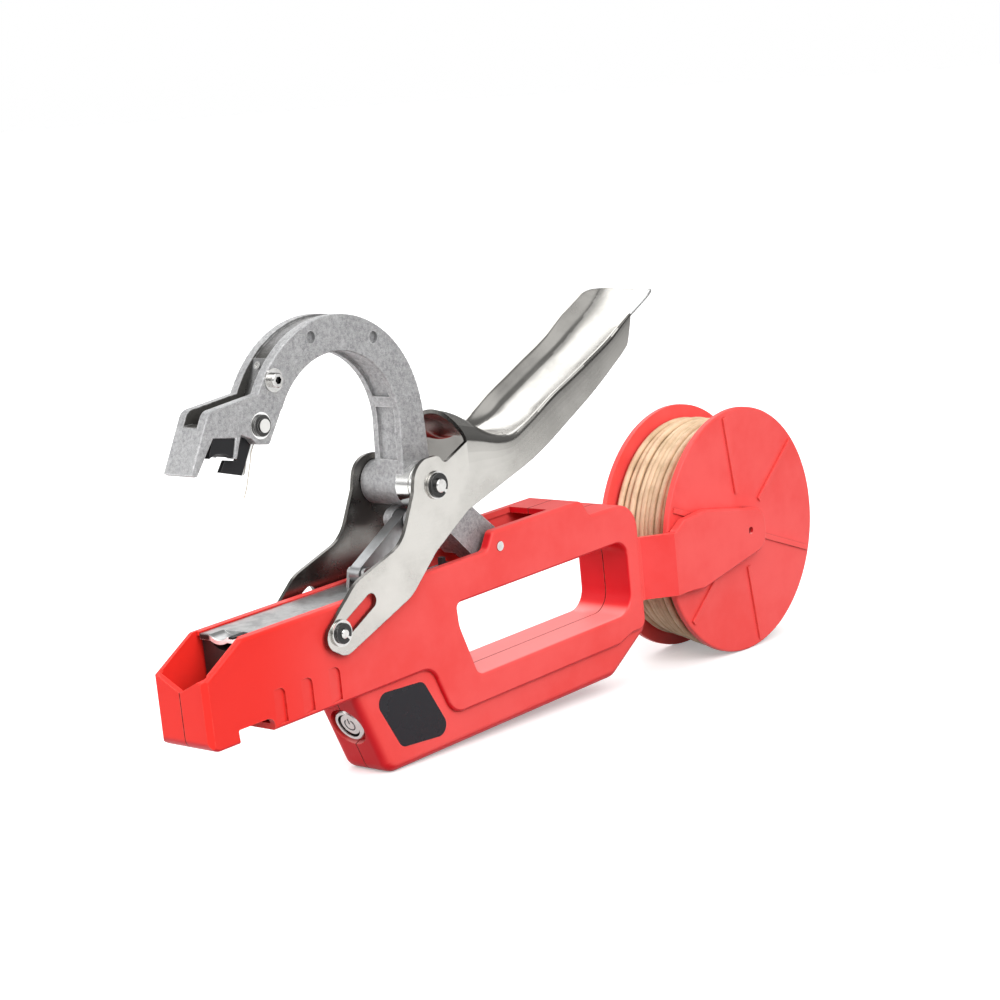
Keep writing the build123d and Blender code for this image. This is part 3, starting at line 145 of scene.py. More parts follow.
def unit(vectors: np.ndarray) -> np.ndarray:
    """Directions of length one, taken along the last axis."""
    return vectors / np.maximum(np.linalg.norm(vectors, axis=-1, keepdims=True), TINY)


def unit_circle(count: int) -> np.ndarray:
    """Even points round a circle of radius one, two columns."""
    angle = np.linspace(0, 2 * np.pi, count, endpoint=False)
    return np.stack([np.cos(angle), np.sin(angle)], axis=-1)


def smooth_curve(knots: Sequence[float], values: Sequence[float], at: np.ndarray) -> np.ndarray:
    """Cubic through the knots, each slope taken from the knot's two neighbours.

    Args:
        knots: rising places of the knots.
        values: heights at the knots.
        at: places to work out.

    Returns:
        Heights at those places.
    """
    x, y = np.asarray(knots, float), np.asarray(values, float)
    slope = np.gradient(y, x)
    left = np.clip(np.searchsorted(x, at, side="right") - 1, 0, len(x) - 2)
    span = x[left + 1] - x[left]
    t = np.clip((at - x[left]) / span, 0.0, 1.0)
    rise = 3 * t**2 - 2 * t**3
    value = y[left] * (1 - rise) + y[left + 1] * rise
    value += span * slope[left] * (t - 2 * t**2 + t**3)
    return value + span * slope[left + 1] * (t**3 - t**2)


def rounded_outline(corners: Sequence[tuple[float, float, float]], steps: int = 12) -> np.ndarray:
    """Closed outline through corners, each rounded by an arc that touches both its sides.

    Args:
        corners: (x, z, radius) of each corner.
        steps: points on each arc.

    Returns:
        Points of the outline in order, two columns.
    """
    data = np.asarray(corners, float)
    points, radius = data[:, :2], np.maximum(data[:, 2], LEAST_RADIUS)
    before = unit(np.roll(points, 1, axis=0) - points)
    after = unit(np.roll(points, -1, axis=0) - points)
    half = np.arccos(np.clip((before * after).sum(1), -1, 1)) / 2
    centre = points + unit(before + after) * (radius / np.sin(half))[:, None]
    reach = (radius / np.tan(half))[:, None]
    start = points + before * reach - centre
    end = points + after * reach - centre
    turn = (np.pi - 2 * half)[:, None, None]
    t = np.linspace(0, 1, steps)[None, :, None]
    arc = (np.sin((1 - t) * turn) * start[:, None] + np.sin(t * turn) * end[:, None]) / np.sin(turn)
    return (centre[:, None] + arc).reshape(-1, 2)


def grid_faces(rows: int, cols: int, wrap: bool = False) -> np.ndarray:
    """Quads of a grid whose points are stored row by row.

    Args:
        rows: number of rows.
        cols: number of points in a row.
        wrap: whether each row closes on itself.

    Returns:
        One row of four point numbers for each quad.
    """
    row, col = np.meshgrid(np.arange(rows - 1), np.arange(cols if wrap else cols - 1), indexing="ij")
    following = (col + 1) % cols
    quads = [row * cols + col, row * cols + following, (row + 1) * cols + following, (row + 1) * cols + col]
    return np.stack(quads, axis=-1).reshape(-1, 4)


def tube(path: np.ndarray, radius: float, side: np.ndarray, ring: int) -> Shape:
    """Round tube: at each point of the path, a circle in the plane of the side direction and its normal.

    Args:
        path: points of the middle line.
        radius: radius of the circles.
        side: a direction never along the path, one for each point or one for all.
        ring: points round the tube.

    Returns:
        Points and faces, with the ends closed.
    """
    along = unit(np.gradient(path, axis=0))
    across = unit(np.cross(along, np.broadcast_to(side, path.shape)))
    up = np.cross(across, along)
    cos, sin = unit_circle(ring).T[:, None, :, None]
    points = (path[:, None] + (cos * across[:, None] + sin * up[:, None]) * radius).reshape(-1, 3)
    faces = grid_faces(len(path), ring, wrap=True)[:, ::-1].tolist()
    last = (len(path) - 1) * ring
    caps = [list(range(ring)), list(range(last, last + ring))[::-1]]
    return points, faces + caps


def lathe(profile: np.ndarray, centre: Sequence[float], ring: int) -> Shape:
    """Closed ring turned about Y: the profile's (radius, y) points carried once round the axis.

    Args:
        profile: closed outline in radius and y.
        centre: x and z of the axis.
        ring: steps round the axis.

    Returns:
        Points and faces.
    """
    cos, sin = unit_circle(ring).T[..., None]
    x = centre[0] + profile[None, :, 0] * cos
    z = centre[1] + profile[None, :, 0] * sin
    y = np.broadcast_to(profile[None, :, 1], x.shape)
    points = np.stack([x, y, z], axis=-1)
    points = np.concatenate([points, points[:1]]).reshape(-1, 3)
    return points, grid_faces(ring + 1, len(profile), wrap=True).tolist()


def plate(rings: Sequence[np.ndarray], y_start: float, y_end: float) -> Shape:
    """Flat plate across Y from an outline and its holes: two filled faces and a wall round each ring.

    Args:
        rings: the outline first, then the holes, as (x, z) points.
        y_start: one face of the plate.
        y_end: its other face.

    Returns:
        Points and faces.
    """
    flat = np.concatenate(rings)
    count = len(flat)
    depth = np.array([y_start, y_end])
    points = np.stack(
        [np.tile(flat[:, 0], 2), np.repeat(depth, count), np.tile(flat[:, 1], 2)], axis=-1
    )
    fill = np.array(tessellate_polygon([np.pad(ring, ((0, 0), (0, 1))).tolist() for ring in rings]))
    faces = fill[:, ::-1].tolist() + (fill + count).tolist()
    starts = np.cumsum([0] + [len(ring) for ring in rings])
    for first, last in zip(starts[:-1], starts[1:]):
        here = np.arange(first, last)
        following = np.roll(here, -1)
        faces += np.stack([here, following, following + count, here + count], axis=-1).tolist()
    return points, faces


def joined(parts: Sequence[Shape]) -> Shape:
    """Several sets of points and faces as one set.

    Args:
        parts: points and faces of each set.

    Returns:
        Points and faces of the whole.
    """
    starts = np.cumsum([0] + [len(points) for points, _ in parts])
    faces = [
        (np.asarray(face) + start).tolist() for start, (_, group) in zip(starts, parts) for face in group
    ]
    return np.concatenate([points for points, _ in parts]), faces


def waves(at: np.ndarray, count: int, low: float, high: float, seed: int) -> np.ndarray:
    """Smooth irregular line: a sum of sine waves of seeded lengths and starts, between -1 and 1.

    Args:
        at: places to work out.
        count: number of waves.
        low: least number of waves per unit.
        high: greatest number of waves per unit.
        seed: start of the random draw.

    Returns:
        Height at each place.
    """
    draw = np.random.default_rng(seed)
    rate = draw.uniform(low, high, count)
    start = draw.uniform(0, 2 * np.pi, count)
    return np.sin(at[:, None] * rate * 2 * np.pi + start).mean(1)


# Objects in the scene


def linked(data: bpy.types.ID) -> bpy.types.Object:
    """New object of a mesh, light or camera, linked to the scene under its name.

    Args:
        data: the mesh, light or camera.

    Returns:
        The object.
    """
    thing = bpy.data.objects.new(data.name, data)
    bpy.context.scene.collection.objects.link(thing)
    return thing


def mesh_object(name: str, shape: Shape, material: bpy.types.Material) -> bpy.types.Object:
    """New object from points in metres and faces, in one material.

    Args:
        name: its name.
        shape: points in metres, and faces.
        material: its material.

    Returns:
        The object.
    """
    mesh = bpy.data.meshes.new(name)
    mesh.from_pydata(shape[0].tolist(), [], shape[1])
    mesh.validate()
    mesh.materials.append(material)
    return linked(mesh)


def level_axes(back: np.ndarray) -> np.ndarray:
    """Right, up and back of a level view, as rows, from the direction back to the viewer."""
    right = unit(np.cross([0.0, 0.0, 1.0], back))
    return np.stack([right, np.cross(back, right), back])


def aimed(data: bpy.types.ID, axes: np.ndarray, place: Sequence[float]) -> bpy.types.Object:
    """New light or camera at a place, with its right, up and back directions as rows.

    Args:
        data: the light or camera.
        axes: its three directions.
        place: its place in metres.

    Returns:
        The object.
    """
    matrix = np.eye(4)
    matrix[:3, :3] = axes.T
    matrix[:3, 3] = place
    thing = linked(data)
    thing.matrix_world = Matrix(matrix.tolist())
    return thing


# Shader work


class Shader:
    """Short way to add and join the nodes of one tree."""

    MIX_COLOURS = (6, 7)
    MIX_RESULT = 2
    NOUGHT = (0.0, 0.0, 0.0)

    def __init__(self, tree: bpy.types.NodeTree) -> None:
        """Keep the tree to work in."""
        self.tree = tree

    def add(self, kind: str, *values: Any, **settings: Any) -> bpy.types.Node:
        """Add one node, set its properties and fill its first inputs in order.

        Args:
            kind: the node's type.
            values: a socket to link from or a plain value for each of its first inputs.
            settings: properties to set.

        Returns:
            The node.
        """
        node = self.tree.nodes.new(kind)
        for name, value in settings.items():
            setattr(node, name, value)
        for socket, value in zip(node.inputs, values):
            self.put(socket, value)
        return node

    def put(self, socket: Socket, value: Any) -> None:
        """Give a socket a link or a plain value.

        Args:
            socket: an input.
            value: a socket to link from, a number, a vector or a colour.
        """
        if isinstance(value, Socket):
            self.tree.links.new(value, socket)
        elif isinstance(value, tuple) and len(value) == 3 and len(socket.default_value) == 4:
            socket.default_value = (*value, 1.0)
        else:
            socket.default_value = value

    def math(self, operation: str, first: Any, second: Any = 0.0, clamp: bool = False) -> Socket:
        """Result of a Math node, held between 0 and 1 if it is clamped."""
        return self.add("ShaderNodeMath", first, second, operation=operation, use_clamp=clamp).outputs[0]

    def times(self, *values: Any) -> Socket:
        """Product of sockets and numbers."""
        return reduce(lambda one, other: self.math("MULTIPLY", one, other), values)

    def topped(self, value: Any, more: Any, share: float) -> Socket:
        """A value and a share of another, held between 0 and 1."""
        return self.math("ADD", value, self.times(more, share), clamp=True)

    def mix(self, factor: Any, first: Any, second: Any) -> Socket:
        """Colour between two colours.

        Args:
            factor: share of the second colour.
            first: colour at 0.
            second: colour at 1.

        Returns:
            The colour.
        """
        node = self.add("ShaderNodeMix", factor, data_type="RGBA")
        for place, colour in zip(self.MIX_COLOURS, (first, second)):
            self.put(node.inputs[place], colour)
        return node.outputs[self.MIX_RESULT]

    def span(self, value: Any, start: float, end: float, low: Any = 0.0, high: Any = 1.0) -> Socket:
        """Value carried from one range to another by a smooth step, held at its ends."""
        ends = (start, end, low, high)
        return self.add("ShaderNodeMapRange", value, *ends, interpolation_type="SMOOTHSTEP").outputs[0]

    def coordinates(self, stretch: Colour = (1.0, 1.0, 1.0)) -> Socket:
        """Object coordinates, times a factor for each axis that is small where patterns are long."""
        place = self.add("ShaderNodeTexCoord").outputs["Object"]
        return self.add("ShaderNodeMapping", place, self.NOUGHT, self.NOUGHT, stretch).outputs[0]

    def split(self, vector: Socket | None = None) -> list[Socket]:
        """X, Y and Z of a vector, or else of the object coordinates."""
        vector = self.coordinates() if vector is None else vector
        return list(self.add("ShaderNodeSeparateXYZ", vector).outputs)

    def square_distance(self, x: Socket, z: Socket, axis: Pair) -> Socket:
        """Square of the distance from an axis across the tool, given as x and z."""
        x, z = self.math("SUBTRACT", x, axis[0]), self.math("SUBTRACT", z, axis[1])
        return self.math("ADD", self.times(x, x), self.times(z, z))

    def noise(self, vector: Socket, scale: Any, detail: float = 2.0, rough: float = 0.5) -> Socket:
        """Noise between 0 and 1, with waves per metre, finer layers and the strength of each."""
        return self.add("ShaderNodeTexNoise", vector, 0.0, scale, detail, rough).outputs[0]


class Effect(Enum):
    """Shared surface effects, each a node group that is made once."""

    GRAIN = "fine_grain"
    # edge colour: partly real rubbing, partly painted highlight and painted shade
    WEAR = "edge_wear_and_light"
    SMUDGE = "smudges"
    DRAWN = "drawn_lines"
    SPECKLE = "speckle"
    # painted shade in creases and hollows
    CREVICE = "crevice_shading"


class Effects:
    """Makes the shared node groups and places them in materials."""

    INPUTS = {
        Effect.GRAIN: {"Scale": 2500.0, "Contrast": 1.0},
        Effect.WEAR: {"Radius": 0.0006, "Breakup": 500.0},
        Effect.SMUDGE: {"Scale": 40.0},
        Effect.DRAWN: {"Scale": 900.0},
        Effect.SPECKLE: {"Scale": 1400.0, "Share": 0.5},
        Effect.CREVICE: {"Reach": 0.0013},
    }
    FINE_NOISE = (3.0, 0.6)
    PATCH_NOISE = (3.0, 0.5)
    SMUDGE_NOISE = (4.0, 0.62)
    DRAWN_NOISE = (4.0, 0.7)
    SPOT_NOISE = (2.0, 0.7)
    COARSE_SCALE = 0.23
    FINE_SHARE = 0.6
    EDGE_TURN = (0.995, 0.86)
    EDGE_PATCH = (0.38, 0.62, 0.25, 1.0)
    SMUDGE_PATCH = (0.36, 0.68)
    DRAWN_OUT = (0.02, 1.0, 1.0)
    SPOT_EDGE = 6.0
    OPENNESS = (0.3, 0.92, 1.0, 0.0)
    WHITE = (1.0, 1.0, 1.0)
    RAYS = 6

    def __init__(self) -> None:
        """Start with no groups made."""
        self.made: dict[Effect, bpy.types.NodeTree] = {}

    def place(self, shader: Shader, effect: Effect, **values: float) -> Socket:
        """Put an effect into a material with its own values.

        Args:
            shader: the material's tree.
            effect: which effect.
            values: inputs that differ from the effect's own.

        Returns:
            The effect's mask, between 0 and 1.
        """
        if effect not in self.made:
            self.made[effect] = self.make(effect)
        node = shader.add("ShaderNodeGroup", node_tree=self.made[effect])
        for name, value in values.items():
            node.inputs[name].default_value = value
        return node.outputs["Mask"]

    def make(self, effect: Effect) -> bpy.types.NodeTree:
        """Build one effect's group with its inputs and its Mask output.

        Args:
            effect: which effect.

        Returns:
            The new group.
        """
        tree = bpy.data.node_groups.new(effect.value, "ShaderNodeTree")
        for name, value in self.INPUTS[effect].items():
            socket = tree.interface.new_socket(name, in_out="INPUT", socket_type="NodeSocketFloat")
            socket.default_value = value
        tree.interface.new_socket("Mask", in_out="OUTPUT", socket_type="NodeSocketFloat")
        shader = Shader(tree)
        inputs = shader.add("NodeGroupInput").outputs
        mask = getattr(self, effect.name.lower())(shader, inputs)
        shader.put(shader.add("NodeGroupOutput").inputs["Mask"], mask)
        return tree

    def grain(self, shader: Shader, inputs: Any) -> Socket:
        """Two sizes of noise added up, as on spark-eroded mould walls.

        Args:
            shader: the group's tree.
            inputs: the group's inputs.

        Returns:
            The mask.
        """
        vector = shader.coordinates()
        fine = shader.noise(vector, inputs["Scale"], *self.FINE_NOISE)
        coarse = shader.noise(vector, shader.times(inputs["Scale"], self.COARSE_SCALE))
        both = shader.topped(shader.times(coarse, 1 - self.FINE_SHARE), fine, self.FINE_SHARE)
        centred = shader.math("SUBTRACT", both, 0.5)
        return shader.math("ADD", shader.times(centred, inputs["Contrast"]), 0.5, clamp=True)

    def wear(self, shader: Shader, inputs: Any) -> Socket:
        """How far the rounded normal leaves the true one, broken up by noise, so it shows on edges only.
        It masks an edge colour that is partly real rubbing and partly painted light: a painted highlight on
        the red plastic and the cast alloy, painted shade on the sheet.

        Args:
            shader: the group's tree.
            inputs: the group's inputs.

        Returns:
            The mask.
        """
        rounded = shader.add("ShaderNodeBevel", inputs["Radius"], samples=self.RAYS).outputs[0]
        true = shader.add("ShaderNodeNewGeometry").outputs["Normal"]
        dot = shader.add("ShaderNodeVectorMath", rounded, true, operation="DOT_PRODUCT")
        edge = shader.span(dot.outputs["Value"], *self.EDGE_TURN)
        patch = shader.noise(shader.coordinates(), inputs["Breakup"], *self.PATCH_NOISE)
        return shader.times(edge, shader.span(patch, *self.EDGE_PATCH))

    def smudge(self, shader: Shader, inputs: Any) -> Socket:
        """Broad soft patches, as left by hands and handling."""
        patch = shader.noise(shader.coordinates(), inputs["Scale"], *self.SMUDGE_NOISE)
        return shader.span(patch, *self.SMUDGE_PATCH)

    def drawn(self, shader: Shader, inputs: Any) -> Socket:
        """Noise drawn out along X, as rolling, brushing or turning leaves it."""
        return shader.noise(shader.coordinates(self.DRAWN_OUT), inputs["Scale"], *self.DRAWN_NOISE)

    def speckle(self, shader: Shader, inputs: Any) -> Socket:
        """Small separate spots where noise is above a share of its range.

        Args:
            shader: the group's tree.
            inputs: the group's inputs.

        Returns:
            The mask.
        """
        spots = shader.noise(shader.coordinates(), inputs["Scale"], *self.SPOT_NOISE)
        above = shader.math("SUBTRACT", spots, shader.math("SUBTRACT", 1.0, inputs["Share"]))
        return shader.math("MULTIPLY", above, self.SPOT_EDGE, clamp=True)

    def crevice(self, shader: Shader, inputs: Any) -> Socket:
        """Painted shade in creases and hollows: how closed in the surface is by what lies within reach of
        it.
        """
        around = shader.add("ShaderNodeAmbientOcclusion", self.WHITE, inputs["Reach"], samples=self.RAYS)
        return shader.span(around.outputs["AO"], *self.OPENNESS)


@dataclass(frozen=True)
class Finish:
    """A surface finish, from its colours to its gloss and relief."""

    name: str
    colour: Colour
    shade: Colour
    worn: Colour
    metallic: float = 0.0
    gloss: float = 0.35
    gloss_spread: float = 0.12
    grain_scale: float = 2500.0
    grain_height: float = 0.00002
    grain_tone: float = 0.2
    smudge_scale: float = 40.0
    smudge_tone: float = 0.3
    wear: float = 0.4
    wear_radius: float = 0.0006
    drawn_scale: float = 900.0
    drawn_tone: float = 0.0
    speckle_scale: float = 1400.0
    speckle_share: float = 0.0
    grain_contrast: float = 1.0
    specular: float = 0.5
    coat: float = 0.0
    # painted shade in creases and hollows: its share and its colour
    crevice: float = 0.0
    deep: Colour = (0.0, 0.0, 0.0)

    LINE_RELIEF = 0.6
    SPOT_TONE = 0.5
    RELIEF = 0.6

    def material(self, effects: Effects) -> bpy.types.Material:
        """Build the material from the shared effects.

        Args:
            effects: maker of the shared groups.

        Returns:
            The finished material.
        """
        material = bpy.data.materials.new(self.name)
        material.use_nodes = True
        shader = Shader(material.node_tree)
        bsdf = material.node_tree.nodes["Principled BSDF"]
        grain = effects.place(shader, Effect.GRAIN, Scale=self.grain_scale, Contrast=self.grain_contrast)
        smudge = effects.place(shader, Effect.SMUDGE, Scale=self.smudge_scale)
        tone = shader.topped(shader.times(smudge, self.smudge_tone), grain, self.grain_tone)
        height = grain
        if self.drawn_tone:
            lines = effects.place(shader, Effect.DRAWN, Scale=self.drawn_scale)
            tone = shader.topped(tone, lines, self.drawn_tone)
            height = shader.topped(shader.times(grain, 1 - self.LINE_RELIEF), lines, self.LINE_RELIEF)
        if self.speckle_share:
            spots = effects.place(shader, Effect.SPECKLE, Scale=self.speckle_scale, Share=self.speckle_share)
            tone = shader.topped(tone, spots, self.SPOT_TONE)
        colour = self.colours(shader, tone)
        # painted shade in creases and hollows
        if self.crevice:
            closed = effects.place(shader, Effect.CREVICE)
            colour = shader.mix(shader.times(closed, self.crevice), colour, self.deep)
        # edge colour: partly real rubbing, partly painted highlight and painted shade
        worn = effects.place(shader, Effect.WEAR, Radius=self.wear_radius)
        colour = shader.mix(self.rubbed(shader, worn), colour, self.worn)
        shader.put(bsdf.inputs["Base Color"], colour)
        spread = self.gloss_spread
        rough = shader.span(tone, 0.0, 1.0, self.gloss - spread / 2, self.gloss + spread)
        shader.put(bsdf.inputs["Roughness"], rough)
        plain = {"Metallic": self.metallic, "Specular IOR Level": self.specular, "Coat Weight": self.coat}
        for name, value in plain.items():
            bsdf.inputs[name].default_value = value
        bump = shader.add("ShaderNodeBump")
        bump.inputs["Strength"].default_value = self.RELIEF
        bump.inputs["Distance"].default_value = self.grain_height
        shader.put(bump.inputs["Height"], height)
        shader.put(bsdf.inputs["Normal"], bump.outputs[0])
        return material

    def colours(self, shader: Shader, tone: Socket) -> Socket:
        """Colour between the finish's own colour and its shade."""
        return shader.mix(tone, self.colour, self.shade)

    def rubbed(self, shader: Shader, worn: Socket) -> Socket:
        """Share of the edge colour at the edges, which is partly real rubbing and partly painted highlight
        and painted shade.
        """
        return shader.times(worn, self.wear)


@dataclass(frozen=True)
class MarkedFinish(Finish):
    """Finish with a second colour in a region of its own."""

    mark: Colour = (0.012, 0.012, 0.012)

    def region(self, shader: Shader) -> Socket:
        """Mask of the region, given by each finish of this kind."""
        raise NotImplementedError(self.name)

    def colours(self, shader: Shader, tone: Socket) -> Socket:
        """Second colour in the region, the plain finish elsewhere."""
        return shader.mix(self.region(shader), super().colours(shader, tone), self.mark)


@dataclass(frozen=True)
class PinFinish(MarkedFinish):
    """Dark head with a bright end that stands out beyond a plane across the tool."""

    mark: Colour = (0.78, 0.77, 0.75)
    end_y: float = -0.00905

    def region(self, shader: Shader) -> Socket:
        """Where the pin's end stands out."""
        _, y, _ = shader.split()
        return shader.math("LESS_THAN", y, self.end_y)


@dataclass(frozen=True)
class PlasticWithPaintedLight(Finish):
    """Plastic with painted light: a painted sheen that makes it paler to the rear, a painted highlight in
    the hand hole, painted shade that makes it darker below, and a dark joint line.
    """

    # painted sheen: the paler red behind the nose
    pale: Colour = (0.95, 0.105, 0.098)
    fade_x: Pair = (-0.150, -0.085)
    # painted shade: the darker red on faces that look down and, behind the nose, ahead
    under: Colour = (0.74, 0.006, 0.014)
    under_z: Pair = (-0.12, -0.42)
    ahead_x: Pair = (-0.55, -0.95)
    # painted highlight: the palest red, on the floor of the hand hole
    held: Colour = (0.95, 0.30, 0.29)
    held_up: Pair = (0.6, 0.95)
    held_z: Pair = (0.052, 0.048)
    joint: Colour = (0.16, 0.004, 0.005)
    joint_half: float = 0.00022

    def colours(self, shader: Shader, tone: Socket) -> Socket:
        """Colour of the plastic.

        Its own at the nose and a paler one behind it, which is painted sheen; a darker one on faces that
        look down or, behind the nose, ahead, which is painted shade; the palest on the floor of the hand
        hole, which is a painted highlight; and a dark line where the half shells meet.

        Args:
            shader: the material's tree.
            tone: how far the colour goes to its shade.

        Returns:
            The colour.
        """
        x, y, z = shader.split()
        facing_x, _, facing_z = shader.split(shader.add("ShaderNodeTexCoord").outputs["Normal"])
        # painted sheen: paler red towards the rear
        rear = shader.span(x, *self.fade_x)
        plain = shader.mix(tone, shader.mix(rear, self.colour, self.pale), self.shade)
        # painted shade on faces that look down and, behind the nose, ahead
        ahead = shader.times(rear, shader.span(facing_x, *self.ahead_x))
        shaded = shader.math("MAXIMUM", ahead, shader.span(facing_z, *self.under_z))
        plain = shader.mix(shaded, plain, self.under)
        # painted highlight on the floor of the hand hole
        floor = shader.times(rear, shader.span(facing_z, *self.held_up), shader.span(z, *self.held_z))
        plain = shader.mix(floor, plain, self.held)
        middle = shader.math("LESS_THAN", shader.math("ABSOLUTE", y), self.joint_half)
        return shader.mix(middle, plain, self.joint)


@dataclass(frozen=True)
class SheetFinish(Finish):
    """Bright sheet with painted shade where its own tone attribute is above nought, and a painted highlight
    where below.
    """

    # dark is the sheet's painted shade; the colour below it is its painted highlight
    dark: Colour = (0.10, 0.096, 0.090)
    polished: Colour = (0.97, 0.97, 0.96)

    def dull(self, shader: Shader) -> Socket:
        """The sheet's tone attribute, which carries its painted shade and painted highlight."""
        return shader.add("ShaderNodeAttribute", attribute_name="tone").outputs["Fac"]

    def colours(self, shader: Shader, tone: Socket) -> Socket:
        """Sheet colour, with the attribute's painted shade and painted highlight.

        Args:
            shader: the material's tree.
            tone: how far the colour goes to its shade.

        Returns:
            The colour.
        """
        dull = self.dull(shader)
        # painted shade where the tone attribute is above nought, painted highlight where below
        sheet = shader.mix(dull, super().colours(shader, tone), self.dark)
        return shader.mix(shader.math("MULTIPLY", dull, -1.0, clamp=True), sheet, self.polished)

    def rubbed(self, shader: Shader, worn: Socket) -> Socket:
        """Edge colour, which on this sheet is painted shade, everywhere but on the rim with the painted
        highlight.
        """
        plain = shader.math("ADD", self.dull(shader), 1.0, clamp=True)
        return shader.times(super().rubbed(shader, worn), plain)


@dataclass(frozen=True)
class PlateFinish(Finish):
    """Mottled plate with a painted highlight on the near side of its front edge and painted shade on the
    rest of that edge.
    """

    # bright is the painted highlight on the front edge, dark the painted shade beside it
    bright: Colour = (0.93, 0.93, 0.92)
    dark: Colour = (0.04, 0.035, 0.034)
    bright_front: Pair = (-0.1513, -0.1506)
    bright_y: Pair = (0.0035, 0.0048)

    def colours(self, shader: Shader, tone: Socket) -> Socket:
        """Painted highlight on the near side of the front edge, painted shade on its far side, mottled grey
        behind it.

        Args:
            shader: the material's tree.
            tone: how far the colour goes to its shade.

        Returns:
            The colour.
        """
        x, y, _ = shader.split()
        # painted highlight near, painted shade farther along the front edge
        edge = shader.mix(shader.span(y, *self.bright_y), self.bright, self.dark)
        return shader.mix(shader.span(x, *self.bright_front, 1.0, 0.0), super().colours(shader, tone), edge)


@dataclass(frozen=True)
class SocketFinish(MarkedFinish):
    """Screw with painted shade in its socket, round an axis across the tool, below its face."""

    # the inherited dark mark is the socket's painted shade
    axis: Pair = (-0.12359, 0.14415)
    socket_r: float = 0.0015
    face_y: float = -0.0093

    def region(self, shader: Shader) -> Socket:
        """Inside of the socket, where the shade is painted.

        Args:
            shader: the material's tree.

        Returns:
            The mask.
        """
        x, y, z = shader.split()
        near = shader.math("LESS_THAN", shader.square_distance(x, z, self.axis), self.socket_r**2)
        return shader.times(near, shader.math("GREATER_THAN", y, self.face_y))


@dataclass(frozen=True)
class CastFinish(MarkedFinish):
    """Cast alloy with painted shade in the channel between the cheeks."""

    # the dark mark is painted shade in the channel
    mark: Colour = (0.055, 0.052, 0.046)
    centre: Pair = (-0.09399, 0.12041)
    floor_r: float = 0.034
    half: float = 0.00334
    rear_x: float = -0.0844
    low_z: float = 0.1327
    stain_x: Pair = (-0.122, -0.113)
    stain: Pair = (0.93, 0.45)

    def region(self, shader: Shader) -> Socket:
        """Walls and floor of the channel, where the shade is painted, most at its front end.

        Args:
            shader: the material's tree.

        Returns:
            The mask.
        """
        x, y, z = shader.split()
        inside = shader.math("LESS_THAN", shader.math("ABSOLUTE", y), self.half)
        outer = shader.math("GREATER_THAN", shader.square_distance(x, z, self.centre), self.floor_r**2)
        ahead = shader.math("LESS_THAN", x, self.rear_x)
        above = shader.math("GREATER_THAN", z, self.low_z)
        return shader.times(inside, outer, ahead, above, shader.span(x, *self.stain_x, *self.stain))


# red plastic with painted light: sheen to the rear, shade below and in creases, a highlight on the hand-hole
# floor; its pale pink edge colour is partly real rubbing and partly a painted highlight
RED = PlasticWithPaintedLight(
    "moulded_red", (0.90, 0.030, 0.021), (0.82, 0.026, 0.019), (0.95, 0.22, 0.17),
    gloss=0.42, gloss_spread=0.12, grain_scale=3200.0, grain_height=0.000012, grain_tone=0.12,
    smudge_scale=28.0, smudge_tone=0.35, wear=0.3, wear_radius=0.0007, specular=0.22,
    crevice=0.7, deep=(0.34, 0.002, 0.004),
)
# the spool takes the painted-sheen red in place of the painted shade below and the painted hand-hole
# highlight
SPOOL_RED = replace(RED, name="spool_red", under=RED.pale, held=RED.pale)
# the cast alloy's pale edge colour is partly real rubbing and partly a painted highlight
CAST = CastFinish(
    "cast_alloy", (0.53, 0.53, 0.535), (0.20, 0.20, 0.205), (0.82, 0.82, 0.82),
    metallic=0.6, gloss=0.46, gloss_spread=0.16, grain_scale=3600.0, grain_height=0.00014, grain_tone=0.8,
    grain_contrast=3.4, smudge_scale=70.0, smudge_tone=0.12, wear=0.6, wear_radius=0.0008,
)
# the sheet's near-black edge colour is painted shade
SHEET = SheetFinish(
    "stainless_sheet", (0.56, 0.545, 0.515), (0.41, 0.40, 0.375), (0.06, 0.058, 0.055),
    metallic=1.0, gloss=0.24, gloss_spread=0.14, grain_scale=1500.0, grain_height=0.00001, grain_tone=0.12,
    smudge_scale=45.0, smudge_tone=0.4, wear=0.75, drawn_scale=1500.0, drawn_tone=0.2,
)
PLATE = PlateFinish(
    "zinc_plate", (0.52, 0.525, 0.52), (0.20, 0.20, 0.205), (0.85, 0.85, 0.84),
    metallic=0.9, gloss=0.34, gloss_spread=0.22, grain_scale=900.0, grain_height=0.00003, grain_tone=0.35,
    smudge_scale=160.0, smudge_tone=0.45, wear=0.7, drawn_scale=1200.0, drawn_tone=0.25,
)
PLATED = dict(
    worn=(0.85, 0.85, 0.83), metallic=1.0, gloss=0.24, gloss_spread=0.16, grain_scale=2200.0,
    grain_height=0.00001, grain_tone=0.25, smudge_scale=220.0, smudge_tone=0.35,
    wear=0.6, wear_radius=0.0003,
)
STEEL = Finish("plated_steel", (0.62, 0.615, 0.60), (0.34, 0.335, 0.33), **PLATED)
HOOK_SCREW = SocketFinish("socket_screw", (0.60, 0.595, 0.58), (0.33, 0.325, 0.32), **PLATED)
TURNED = Finish(
    "turned_steel", (0.84, 0.835, 0.82), (0.58, 0.575, 0.565), (0.90, 0.90, 0.88),
    metallic=1.0, gloss=0.17, gloss_spread=0.12, grain_scale=1800.0, grain_height=0.000014, grain_tone=0.1,
    smudge_scale=150.0, smudge_tone=0.2, wear=0.4, wear_radius=0.0004, drawn_scale=2600.0,
    drawn_tone=0.25,
)
BUTTON = replace(
    TURNED, name="button_steel", colour=(0.50, 0.485, 0.475), shade=(0.30, 0.29, 0.285), gloss=0.26,
)
LINK = replace(
    STEEL, name="zinc_link", colour=(0.40, 0.41, 0.415), shade=(0.25, 0.255, 0.26), gloss=0.42,
)
